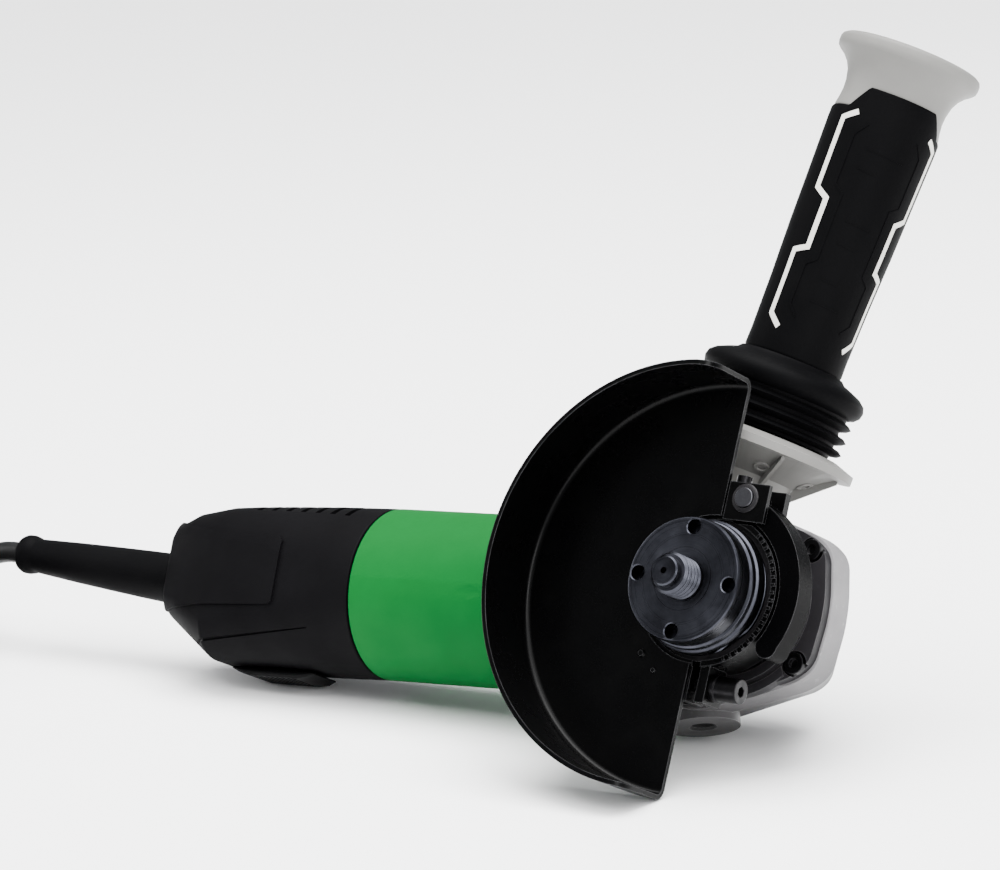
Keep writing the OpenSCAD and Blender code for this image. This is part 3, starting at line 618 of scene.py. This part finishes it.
def addCord():
    points = toCoil + coilTurns() + toPlug
    line = bpy.data.curves.new("mainsCord", "CURVE")
    line.dimensions = "3D"
    line.bevel_depth = cordSize["diameter"] / 2 * mm
    line.bevel_resolution = 4
    line.resolution_u = 4
    spline = line.splines.new("BEZIER")
    spline.bezier_points.add(len(points) - 1)
    for point, bezier in zip(points, spline.bezier_points):
        bezier.co = Vector(point) * mm
        bezier.handle_left_type = "AUTO"
        bezier.handle_right_type = "AUTO"
    cord = bpy.data.objects.new("mainsCord", line)
    bpy.context.scene.collection.objects.link(cord)
    line.materials.append(finishes["cord_sheath"])
    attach(cord, "tool")
    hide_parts("power_cord", "cord_coil", "cord_end")
    return cord


def coilTie():
    width, corner = tieShape["width"], tieShape["corner"]
    tie = prism("cordTie", tieShape["outer"], -width / 2, width / 2, corner, 6)
    room = prism("tieRoom", tieShape["inner"], -width, width, corner - tieShape["innerCornerLess"], 6)
    cut(tie, room)
    softenEdges(tie, 0.25)
    across = Matrix(((1, 0, 0, 0), (0, 0, 1, 0), (0, 1, 0, 0), (0, 0, 0, 1)))
    turn = Matrix.Rotation(radians(tieShape["heading"]), 4, "Z")
    settle(tie, Matrix.Translation((*cordSize["coilCentre"], 0)) @ turn @ across)
    settle(tie, Matrix.Scale(mm, 4))
    flipped(tie)
    return finished(tie, "cord_coil", body="tool", stands=False)


cord = addCord()
tie = coilTie()
plugPiece = plugBody()
print("cord laid")


# Motor housing
housing = {
    "seam": -155.0,
    "front": -38.1,
    "radius": 30.5,
    "flareStart": -60.0,
    "head": (31.0, 35.97, 12.0),  # half width, half height and corner of its front end
    "fingerRest": (20, 13, 30),
    "restPlace": (49.7, -4, -104),
}


def motorHousing():
    r = housing["radius"]
    halfWidth, halfHeight, corner = housing["head"]
    seam, flare, front = housing["seam"], housing["flareStart"], housing["front"]
    rings = [
        (seam + 0.3, r - 1.6, r - 1.6, 1.6 - r, r - 1.62),
        (seam + 0.3, r - 0.5, r - 0.5, 0.5 - r, r - 0.52),
        (seam + 0.8, r, r, -r, r - 0.02),
        (seam + 40, r, r, -r, r - 0.02),
        (flare, r, r, -r, r - 0.02),
        (flare + 5, r + 0.05, r + 0.4, -r - 0.4, r - 1.5),
        (flare + 11, r + 0.2, r + 1.9, -r - 1.9, r - 7),
        (front - 6, halfWidth, halfHeight - 0.3, 0.3 - halfHeight, corner + 1),
        (front - 0.8, halfWidth, halfHeight, -halfHeight, corner),
        (front, halfWidth - 0.7, halfHeight - 0.7, 0.7 - halfHeight, corner - 0.7),
    ]
    piece = lofted("motorHousing", rings, 14)
    for side in (-1, 1):  # shallow oval finger rest on each side
        bpy.ops.mesh.primitive_uv_sphere_add(segments=48, ring_count=24)
        x, y, z = housing["restPlace"]
        size = Matrix.Diagonal((*housing["fingerRest"], 1))
        cut(piece, settle(started("dish"), Matrix.Translation((side * x, y, z)) @ size))
    place(piece, motorMatrix)
    return finished(piece, "motor_housing", angle=30)


motorHousing()
print("motor housing made")


# Tail cover
tail = {
    "rings": [
        (-155.3, 30.5, 30.5, -30.5, 30.48), (-176, 29.4, 29.2, -30.3, 24.5), (-197, 28, 27.6, -30, 19),
        (-209, 27.6, 26.7, -30.3, 17), (-220, 27, 25.6, -30.6, 15), (-236, 21, 23.2, -21, 11),
        (-244.5, 16.6, 20, -16, 8), (-247.5, 14, 16.6, -11, 6),
    ],
    "panel": [
        (-247, 19.5), (-222.5, 14.7), (-189, 13), (-187.6, 11.5), (-187.6, -10.5), (-189, -11.6), (-247, -14),
    ],
    "panelHeight": 0.9,
    "crease": [(-229, -26.1), (-226, -25.5), (-173, -18.3), (-173, -18.7), (-226, -26.6), (-229, -27.2)],
    "creaseDepth": 0.8,
    "slots": (-208.0, 6.5, 7, 2.2),
    "switchSlot": ((-4.2, -40, -219), (4.2, -27, -189)),
    "screwHoles": ((-12, 12), -161.5, 3.2),
}


def tailCover():
    piece = softenEdges(lofted("tailCover", tail["rings"], 12), 1.1, 3, 24)
    raised, core = copyOf(piece, "raised"), copyOf(piece, "core")
    for other, change in ((raised, tail["panelHeight"]), (core, -tail["creaseDepth"])):
        edit(other)
        bpy.ops.transform.shrink_fatten(value=change)
        done()
    flankRows = ((0, 1, 0, 0), (1, 0, 0, 0), (0, 0, 0, 1))
    for side in (-1, 1):  # panels stand a little proud of both flanks
        panel = settle(prism("panel", tail["panel"], 12, 40), Matrix(((0, 0, side, 0), *flankRows)))
        flipped(panel)
        add(piece, carve(copyOf(raised, "shell"), panel, "INTERSECT"))
    bpy.data.objects.remove(raised)
    start, pitch, count, width = tail["slots"]
    for number in range(count):
        for side in (-1, 1):
            x = start + number * pitch
            low, high = sorted((side * 8, side * 20))
            cut(piece, bar("airSlot", (low, 17, x), (high, 40, x + width)))
    for side in (-1, 1):  # a shallow crease runs along the foot of both flanks
        groove = settle(prism("crease", tail["crease"], 8, 40), Matrix(((0, 0, side, 0), *flankRows)))
        flipped(groove)
        carve(groove, copyOf(core, "under"), "DIFFERENCE")
        cut(piece, groove)
    bpy.data.objects.remove(core)
    cut(piece, bar("switchSlot", *tail["switchSlot"]))
    sides, along, radius = tail["screwHoles"]
    for y in sides:
        hole = rod("screwHole", radius, 26, 40, 32)
        settle(hole, Matrix.Translation((0, y, along)) @ Matrix.Rotation(radians(90), 4, "Y"))
        cut(piece, hole)
    place(piece, motorMatrix)
    softenEdges(piece, 0.35 * mm, 2, 40)
    return finished(piece, "tail_cover", angle=36)


tailCover()
print("tail cover made")


# Cord guard
cordGuard = {
    "from": (-246.5, 0.0, -0.1),
    "to": (-328.0, 0.0, 6.7),
    "profile": [
        (4.02, -2), (9.0, -2), (9.4, 0.4), (9.3, 2.2), (9.25, 8), (8.9, 20), (8.3, 36), (7.5, 54),
        (6.75, 68), (6.4, 73.5), (6.45, 75), (7.0, 76.2), (7.35, 78), (7.3, 79.8), (6.7, 81.2),
        (5.4, 81.75), (4.02, 81.75),
    ],
}


def cordGuardSleeve():
    piece = turned("cordGuard", cordGuard["profile"], 64, closed=True)
    along = (Vector(cordGuard["to"]) - Vector(cordGuard["from"])).normalized()
    turn = Vector((0, 0, 1)).rotation_difference(along).to_matrix().to_4x4()
    place(piece, Matrix.Translation(cordGuard["from"]) @ turn)
    return finished(piece, "cord_guard", angle=50)


cordGuardSleeve()
print("cord guard made")


# Gear head
gearHead = {
    "outline": [
        (-32, 35.97), (-10, 36), (24.6, 25), (31.4, 19.6), (33.7, 5),
        (33.7, -5), (31.4, -19.6), (24.6, -25), (-10, -36), (-32, -35.97),
    ],
    "back": -32.0,
    "joint": -21.0,
    "sections": [(-10.0, 33.7, 36.0), (12.0, 17.5, 32.6), (31.0, 9.1, 26.3), (33.0, 6.0, 23.0)],
    "flange": (-38.0, -29.2, 31.0, 35.97, 12.0),
    "buttonPlace": (-9.5, 0),
    "screws": [(25.3, 19.1), (25.3, -19.1), (-26, 25), (-26, -25)],
    "screwRoomRadius": 4.1,
    "buttonRoom": (6.9, 26, 40),  # radius, and from where to where it is open
    "bearingRoom": (22.2, -40, -10),
    "boss": (12.6, 20, 41),
    "bossHole": (4, 27, 46),
    "bossLip": (4, 40.2, 42, 5.8),
    "housingScrews": (23, 29, 3.5, -33.1, 30),
    "steps": [  # two low steps round the spindle, then the guard's neck
        [(29.2, -22), (32.2, -22), (32.2, -26), (29.2, -26)],
        [(25, -22), (28, -22), (28, -27.4), (25, -27.4)],
        [(11.6, -24), (23.6, -24), (23.6, -42), (11.6, -42)],
    ],
    "firstStepBox": ((-40, -40, -40), (22, 0, -18)),
    "coverInset": 0.8,
    "coverBack": -28.4,
    "coverPocket": (4.4, -40, -23.4),
}
# The head's outlines are drawn in x and z, and rise along y
headMatrix = Matrix(((1, 0, 0, 0), (0, 0, 1, 0), (0, 1, 0, 0), (0, 0, 0, 1)))


def gearCase():
    back = gearHead["back"]
    height, nose, side = gearHead["sections"][0]
    piece = prism("gearCase", gearHead["outline"], gearHead["joint"], height, 3.5)
    edit(piece)
    pickFaces(piece, lambda centre, normal: normal.z > 0.9)
    for nextHeight, nextNose, nextSide in gearHead["sections"][1:]:  # it narrows away from the disc
        bpy.ops.mesh.extrude_region_move(TRANSFORM_OT_translate={"value": (0, 0, nextHeight - height)})
        size = ((nextNose - back) / (nose - back), nextSide / side, 1)
        bpy.ops.transform.resize(value=size, center_override=(back, 0, nextHeight))
        height, nose, side = nextHeight, nextNose, nextSide
    done()
    softenEdges(piece, 2.2, 4, 11)
    flipped(settle(piece, headMatrix))
    x0, x1, halfWidth, halfHeight, corner = gearHead["flange"]
    rings = [(x, halfWidth, halfHeight, -halfHeight, corner) for x in (x0, x1)]
    flange = flipped(settle(lofted("flange", rings), motorMatrix))
    add(piece, flange)
    for side in (1, -1):
        boss = rod("boss", *gearHead["boss"], 64)
        settle(boss, Matrix.Diagonal((1, 1, side, 1)) @ handleMatrix)
        add(piece, flipped(boss))
    softenEdges(piece, 1.1, 3, 30)
    for side in (1, -1):
        hole = rod("bossHole", *gearHead["bossHole"], 40)
        narrow, low, high, wide = gearHead["bossLip"]
        lip = rod("bossLip", narrow, low, high, 40, topRadius=wide)
        for cutter in (hole, lip):
            cut(piece, flipped(settle(cutter, Matrix.Diagonal((1, 1, side, 1)) @ handleMatrix)))
        away, out, radius, low, high = gearHead["housingScrews"]
        for y in (-away, away):  # pockets over the screws that hold the housing
            pocket = rod("pocket", radius, low, high, 40)
            cut(piece, flipped(settle(pocket, Matrix.Translation((0, y, side * out)) @ motorMatrix)))
    for x, z in gearHead["screws"]:
        screwRoom = rod("screwRoom", gearHead["screwRoomRadius"], -45, -23.3, 32, (x, z))
        cut(piece, flipped(settle(screwRoom, headMatrix)))
    button = rod("buttonRoom", *gearHead["buttonRoom"], 48, gearHead["buttonPlace"])
    cut(piece, flipped(settle(button, headMatrix)))
    cut(piece, flipped(settle(rod("bearingRoom", *gearHead["bearingRoom"], 64), headMatrix)))
    place(piece)
    softenEdges(piece, 0.3 * mm, 2, 50)
    return finished(piece, "gear_case", angle=32)


def bearingCover():
    inset, back = gearHead["coverInset"], gearHead["coverBack"]
    inner = []
    for x, z in gearHead["outline"]:  # drawn in all round but for its straight back
        inner.append((max(x, back) - (inset if x > 0 else 0), z - (inset if z > 0 else -inset)))
    piece = prism("bearingCover", inner, -25, gearHead["joint"], 3.2)
    flipped(settle(piece, headMatrix))
    for number, profile in enumerate(gearHead["steps"]):
        collar = flipped(settle(turned("step", profile, 96, closed=True), headMatrix))
        if number == 0:
            carve(collar, bar("limit", *gearHead["firstStepBox"]), "INTERSECT")
        add(piece, collar)
    softenEdges(piece, 0.5, 2, 34)
    for x, z in gearHead["screws"]:
        pocket = rod("pocket", *gearHead["coverPocket"], 40, (x, z))
        cut(piece, flipped(settle(pocket, headMatrix)))
    place(piece)
    softenEdges(piece, 0.2 * mm, 2, 50)
    return finished(piece, "bearing_cover", angle=32)


gearCase()
bearingCover()
print("gear head made")


# Wheel guard
wheelGuard = {
    "turn": 3.6,
    "hole": 24.0,
    "radius": 71.0,
    "plate": -45.2,
    "edge": -71.0,
    "bend": 3.0,
    "sheet": 1.6,
    "corner": 7.0,
    "rivets": [((-18.9, -24.1), 1.7, 0.7), ((-13.1, -29.1), 1.3, 0.35)],
    "pivot": (7.8, 31.4),
    "washer": [(3.45, 45.9), (4.9, 45.9), (4.8, 46.4), (4.3, 46.75), (3.6, 46.75), (3.45, 46.5)],
    "teethAngles": (-62, 58, 6),
}
guardMatrix = Matrix.Rotation(radians(wheelGuard["turn"]), 4, "Y")


def guardShell():
    g = wheelGuard
    middle = g["radius"] - g["sheet"] / 2
    bend = g["bend"]
    inside = g["hole"] + g["sheet"] / 2
    profile = [(radius, g["plate"]) for radius in (inside, middle - bend - 12, middle - bend)]
    for step in range(1, 6):  # the bend from the plate into the skirt
        turn = radians(18 * step)
        profile.append((middle - bend + bend * sin(turn), g["plate"] - bend + bend * cos(turn)))
    profile += [(middle, g["plate"] - 14), (middle, g["edge"])]
    nothingSelected()
    bpy.ops.mesh.primitive_circle_add(vertices=len(profile), radius=1)
    piece = started("wheelGuard")
    for vertex, (radius, height) in zip(piece.data.vertices, profile):
        vertex.co = (0, height, radius)
    edit(piece)
    shape = bmesh.from_edit_mesh(piece.data)
    shape.edges.ensure_lookup_table()
    shape.verts.ensure_lookup_table()
    first, last = shape.verts[0], shape.verts[len(profile) - 1]
    closing = [edge for edge in shape.edges if set(edge.verts) == {first, last}]
    bmesh.ops.delete(shape, geom=closing, context="EDGES")
    bmesh.update_edit_mesh(piece.data)
    bpy.ops.mesh.select_all(action="SELECT")
    bpy.ops.mesh.spin(steps=72, angle=pi, center=(0, 0, 0), axis=(0, 1, 0))
    bpy.ops.mesh.select_all(action="SELECT")
    bpy.ops.mesh.remove_doubles(threshold=0.001)
    bpy.ops.mesh.normals_make_consistent(inside=False)
    done()
    wall = piece.modifiers.new("wall", "SOLIDIFY")
    wall.thickness = g["sheet"]
    wall.offset = 0
    applyAll(piece)
    for side in (-1, 1):  # the skirt's free corners are rounded off
        r = g["corner"]
        low, high = sorted((side * 60, side * 80))
        block = bar("corner", (-r, g["edge"] - 1, low), (1, g["edge"] + r, high))
        pin = rod("round", r, -90, 90, 64)
        settle(pin, Matrix.Translation((-r, g["edge"] + r, 0)))
        cut(block, flipped(pin))
        cut(piece, block)
    softenEdges(piece, 0.3, 2, 50)
    place(flipped(piece), guardMatrix)
    return finished(piece, "wheel_guard", angle=34)


def guardDetails():
    pieces = []
    for (x, z), radius, rise in wheelGuard["rivets"]:
        outer = -wheelGuard["plate"] + wheelGuard["sheet"] / 2
        pieces.append(rod("rivet", radius, outer - 0.3, outer + rise, 32, (x, z), 0.55 * radius))
    place(joined(pieces, "guardRivets"), guardMatrix @ spindleMatrix)
    finished(bpy.data.objects["guardRivets"], "wheel_guard", stands=False)
    washer = turned("pinWasher", wheelGuard["washer"], 64, closed=True)
    pivot = Matrix.Translation((*wheelGuard["pivot"], 0))
    place(washer, guardMatrix @ spindleMatrix @ pivot)
    finished(washer, "lever_pin", slot="cast_dark", stands=False)
    teeth = []
    first, last, step = wheelGuard["teethAngles"]
    for angle in range(first, last, step):  # the collar's face is notched where the lever holds it
        tooth = bar("tooth", (23.9, -0.55, 44.0), (25.5, 0.55, 45.3))
        teeth.append(settle(tooth, Matrix.Rotation(radians(angle), 4, "Z")))
    piece = place(joined(teeth, "collarTeeth"), guardMatrix @ spindleMatrix)
    softenEdges(piece, 0.15 * mm)
    finished(piece, "guard_collar", stands=False)


guardShell()
guardDetails()
print("wheel guard made")


# Side handle
handle = {
    "bellows": [
        (10.9, 63.6), (22.8, 63.6), (23, 64.6), (25.8, 65.1), (26.8, 65.9), (25.8, 66.8), (23.4, 67.4),
        (23.2, 68.5),
        (25.8, 69.5), (26.8, 70.3), (25.8, 71.2), (23.4, 71.9), (23.2, 73.2), (25.8, 74.2), (26.8, 75.0),
        (25.8, 75.9), (24.2, 76.6), (24.4, 77.6), (26.6, 78.4), (28.1, 79.8), (28.6, 81.8), (28.0, 83.8),
        (26.0, 85.5), (22.6, 87.0), (19.4, 88.2), (18.2, 89.4), (10.9, 89.4),
    ],
    "grip": [
        (13, 89.5), (17.0, 89.5), (17.4, 90.4), (17.3, 96), (17.7, 115), (18.4, 134), (18.8, 152),
        (19.3, 172), (19.3, 175.6), (18.9, 176.4), (13, 176.4),
    ],
    "core": [
        (0.001, 176.6), (18.4, 176.6), (18.7, 177.2), (18.2, 180), (17.9, 183), (18.1, 186),
        (18.9, 189.6), (20.2, 192.2),
        (22.0, 194.3), (24.0, 195.8), (24.8, 196.6), (25.1, 197.8), (25.1, 199.4), (24.7, 200.4),
        (23.8, 201.0),
        (20, 201.2), (0.001, 201.4),
    ],
    "tongue": (176.4, 184.2, -14.0, 4.0, 86.0, 104.0),
    "panelCentre": 45.0,  # degrees; the inlays and the panel's edges lie alike on both sides of it
    "line": [(175, 0), (172, 1), (147, 1), (144, 0), (126.5, 0), (124.5, 1), (102, 1), (98, 0)],
    "lineReach": (43.0, 59.0),  # degrees off the centre where a path steps in, and where it steps out
    "lineWidth": 1.9,
    "wrapRadius": 18.5,
    "ribbonRoot": 0.8,  # how deep the strips sit in the grip
    "edge": [(172, 0), (167.5, 1), (149.5, 1), (147, 0), (123.5, 0), (121, 1), (106.5, 1), (103, 0)],
    "edgeReach": (28.0, 39.0),
    "baseBosses": (42.0, 102.0, 222.0, 282.0),
    "baseBossPlace": (20.3, 51.8, 147.2),
    "bars": [(164, 24, 66), (157, 22, 40), (139, 30, 60), (131, 30, 52), (118, 28, 48), (110, 26, 60)],
}


def handleRadius(height):
    points = handle["grip"][2:9]
    for (r0, h0), (r1, h1) in zip(points, points[1:]):
        if h0 <= height <= h1:
            return r0 + (r1 - r0) * (height - h0) / (h1 - h0)
    return points[-1][0]


def gripPath(path, reach, side):
    return [(height, handle["panelCentre"] + side * reach[step]) for height, step in path]


def ribbon(name, path, width, rise, opposite):
    # A flat strip along a path of heights and angles, then wrapped round the grip
    wrap, root = handle["wrapRadius"], handle["ribbonRoot"]
    flat = [Vector((radians(angle) * wrap, height)) for height, angle in path]
    left, right = [], []
    for number, point in enumerate(flat):
        before = (point - flat[number - 1]).normalized() if number else None
        after = (flat[number + 1] - point).normalized() if number + 1 < len(flat) else None
        heading = ((before or after) + (after or before)).normalized()
        side = Vector((-heading.y, heading.x))
        reach = width / 2 / max(0.5, side.dot(Vector((-(after or before).y, (after or before).x))))
        left.append(point + side * reach)
        right.append(point - side * reach)
    outline = left + right[::-1]
    count = len(left)
    nothingSelected()
    bpy.ops.mesh.primitive_grid_add(x_subdivisions=count - 1, y_subdivisions=1, size=1)
    piece = started(name)
    for number in range(count):
        piece.data.vertices[number].co = (*left[number], 0)
        piece.data.vertices[number + count].co = (*right[number], 0)
    edit(piece)
    bpy.ops.mesh.subdivide(number_cuts=5)
    bpy.ops.mesh.select_all(action="SELECT")
    bpy.ops.mesh.normals_make_consistent(inside=False)
    done()
    wall = piece.modifiers.new("wall", "SOLIDIFY")
    wall.thickness = rise + root
    wall.offset = 0
    applyAll(piece)
    for vertex in piece.data.vertices:
        angle = vertex.co.x / wrap + (pi if opposite else 0)
        lift = rise if vertex.co.z > 0 else -root
        radius = handleRadius(vertex.co.y) + lift
        vertex.co = (radius * sin(angle), -radius * cos(angle), vertex.co.y)
    return flipped(piece)


def sideHandle():
    bellows = turned("handleBellows", handle["bellows"], 112, closed=True)
    place(bellows, handleMatrix)
    finished(bellows, "handle_bellows", angle=44)
    grip = turned("handleGrip", handle["grip"], 144, closed=True)
    low, high, a0, a1, a2, a3 = handle["tongue"]
    for vertex in grip.data.vertices:  # the sleeve's upper edge steps up on its front and back
        if vertex.co.z < 175:
            continue
        angle = degrees(atan2(vertex.co.x, -vertex.co.y))
        for turn in (angle, angle - 180, angle + 180):
            up = min(max((turn - a0) / (a1 - a0), 0), 1) * min(max((a3 - turn) / (a3 - a2), 0), 1)
            if up > 0:
                vertex.co.z += up * (high - low)
                outward = Vector((vertex.co.x, vertex.co.y, 0))
                if outward.length > 15:
                    vertex.co -= outward.normalized() * 0.45 * up
    place(grip, handleMatrix)
    finished(grip, "handle_grip", angle=44)
    core = turned("handleCore", handle["core"], 128)
    place(core, handleMatrix)
    finished(core, "handle_core", angle=44)
    lines = []
    ridges = []
    for opposite in (False, True):
        for side in (-1, 1):
            line = gripPath(handle["line"], handle["lineReach"], side)
            lines.append(ribbon("line", line, handle["lineWidth"], 0.12, opposite))
            edge = gripPath(handle["edge"], handle["edgeReach"], side)
            ridges.append(ribbon("ridge", edge, 0.7, 0.22, opposite))
        for height, start, end in handle["bars"]:
            ridges.append(ribbon("ridge", [(height, start), (height - 0.5, end)], 0.6, 0.14, opposite))
    inlays = place(joined(lines, "handleInlays"), handleMatrix)
    finished(inlays, "handle_core", slot="white_nylon", stands=False)
    raised = place(joined(ridges, "gripRidges"), handleMatrix)
    finished(raised, "handle_grip", stands=False)


def baseDetails():
    pieces = []
    reach, height, slope = handle["baseBossPlace"]
    for angle in handle["baseBosses"]:  # low bosses with screw holes on the flange's conical underside
        boss = cut(rod("boss", 2.9, -1.5, 0.45, 40), rod("hole", 1.5, -1.0, 1.0, 32))
        softenEdges(boss, 0.25)
        turn = Matrix.Rotation(radians(angle - 90), 4, "Z") @ Matrix.Translation((reach, 0, height))
        pieces.append(settle(boss, turn @ Matrix.Rotation(radians(slope), 4, "Y")))
    place(joined(pieces, "baseBosses"), handleMatrix)
    finished(bpy.data.objects["baseBosses"], "handle_base", stands=False)


sideHandle()
baseDetails()
print("side handle made")


# Spindle
spindleShape = {
    "tip": 73.0,
    "neck": 69.8,
    "thread": 7.0,
    "core": 6.1,
    "pitch": 2.0,
    "nutFace": 61.0,
    "shaft": [
        (6.5, 47), (8.4, 47), (8.4, 43), (10.2, 43), (10.2, 36.2), (7.5, 36.2), (7.5, 22.8), (6, 22.8),
        (6, 4.8), (5, 4.8), (5, -20.6), (4.6, -21), (0.001, -21),
    ],
}


def spindleShaft():
    s = spindleShape
    tip, neck = s["tip"], s["neck"]
    profile = [(1.1, tip - 2.5), (1.1, tip), (4.5, tip), (5.0, tip - 0.5), (5.0, neck + 0.2)]
    height = neck
    while height > s["nutFace"] - 0.5:  # thread crests and roots
        profile += [(s["core"], height), (s["thread"] - 0.02, height - s["pitch"] * 0.42)]
        profile += [(s["thread"] - 0.02, height - s["pitch"] * 0.58)]
        height -= s["pitch"]
    profile += [(6.5, height), *s["shaft"]]
    piece = turned("spindleShaft", profile, 72)
    place(piece, spindleMatrix)
    return finished(piece, "spindle", angle=30)


lockNutShape = {
    "profile": [
        (6.52, 60.4), (7.2, 61), (19.9, 61), (20.6, 60.75), (21, 60.2), (21, 54), (20.6, 53.4), (19.8, 53.02),
        (11, 53.02), (11, 52.02), (6.52, 52.02),
    ],
    "holes": (17.5, 2.5, 55.5),
    "turn": -4.0,
}
innerFlangeShape = {
    "profile": [
        (6.52, 51.8), (11.2, 51.8), (11.2, 53), (20.6, 53), (21.4, 52.6), (21.6, 51.9), (21.6, 50.6),
        (22.3, 50.1), (22.5, 49.5), (22.5, 46.2), (22, 45.6), (21, 45.4), (21, 44.6), (21.6, 44.2),
        (21.6, 43.4),
        (21.2, 43), (8.47, 43), (8.47, 48), (6.52, 48),
    ],
    "flat": 20.9,
    "turn": -52.0,
}


def lockNut():
    piece = turned("lockNut", lockNutShape["profile"], 128, closed=True)
    away, radius, floor = lockNutShape["holes"]
    for quarter in range(4):
        heading = radians(lockNutShape["turn"] + 90 * quarter)
        at = (away * cos(heading), away * sin(heading))
        cut(piece, rod("pinHole", radius, floor, 64, 40, at))
        cut(piece, rod("holeLip", radius - 0.3, 60.4, 61.2, 40, at, radius + 0.55))
    place(piece, spindleMatrix)
    return finished(piece, "lock_nut", angle=26)


def innerFlange():
    piece = turned("innerFlange", innerFlangeShape["profile"], 128, closed=True)
    for side in (-1, 1):  # flats for a spanner
        low, high = sorted((side * innerFlangeShape["flat"], side * 30))
        flat = bar("flat", (low, -20, 42), (high, 20, 48))
        cut(piece, settle(flat, Matrix.Rotation(radians(innerFlangeShape["turn"]), 4, "Z")))
    place(piece, spindleMatrix)
    return finished(piece, "inner_flange", angle=26)


spindleShaft()
lockNut()
innerFlange()
print("spindle, nut and flange made")


# Switch slider
slider = {
    "rings": [
        (-216, 7.2, -31.35, -31.8, 0.2), (-212, 8.4, -31.35, -33.2, 0.9), (-208, 8.4, -31.35, -34, 1.2),
        (-187, 8.4, -31.35, -34, 1.2), (-183, 8.4, -31.35, -33.2, 0.9), (-180, 7.2, -31.35, -31.8, 0.2),
    ],
    "grooves": (8, -206, 2.4, 1.0),
    "stem": ((-4, -31.5, -210), (4, -22.3, -198)),
}


def switchSlider():
    piece = lofted("switchSlider", slider["rings"], 4)
    softenEdges(piece, 0.4, 2, 30)
    count, start, pitch, width = slider["grooves"]
    for number in range(count):
        x = start + number * pitch
        cut(piece, bar("groove", (-7, -36, x), (7, -33.4, x + width)))
    add(piece, bar("stem", *slider["stem"]))
    place(piece, motorMatrix)
    return finished(piece, "switch_slider", angle=34)


switchSlider()
print("switch slider made")


# Floor and light
def addFloor():
    bpy.ops.object.select_all(action="DESELECT")
    bpy.ops.mesh.primitive_plane_add(size=8)
    floor = bpy.context.object
    floor.name = "floor"
    paper = newFinish("paleFloor", rough=0.85)
    tone = twoColours(paper, speckle(paper, 3.0), (0.95, 0.95, 0.95), (0.94, 0.94, 0.94))
    toShader(paper, tone, "Base Color")
    floor.data.materials.append(paper)


def addLight(name, place, aim, size, power):
    bpy.ops.object.light_add(type="AREA", location=place)
    light = bpy.context.object
    light.name = name
    light.data.shape = "RECTANGLE"
    light.data.size, light.data.size_y = size
    light.data.energy = power
    light.rotation_euler = (Vector(aim) - Vector(place)).to_track_quat("-Z", "Y").to_euler()


addFloor()
addLight("overheadLight", (0.1, 0.15, 1.5), (0.05, 0, 0), (1.6, 1.2), 75)
addLight("frontLight", (1.3, -0.9, 0.8), (0.1, 0, 0.05), (0.5, 0.9), 26)
addLight("leftLight", (-1.3, -0.5, 0.7), (0, 0, 0.05), (0.4, 1.0), 9)
bpy.ops.object.light_add(type="SUN", rotation=(radians(12), radians(8), 0))
daylight = bpy.context.object
daylight.name = "daylight"
daylight.data.energy = 7.5
daylight.data.angle = radians(70)
world = bpy.data.worlds.new("studio")
bpy.context.scene.world = world
world.use_nodes = True
world.node_tree.nodes["Background"].inputs["Color"].default_value = (0.95, 0.97, 1.0, 1)
world.node_tree.nodes["Background"].inputs["Strength"].default_value = 0.6
print("stage lit")
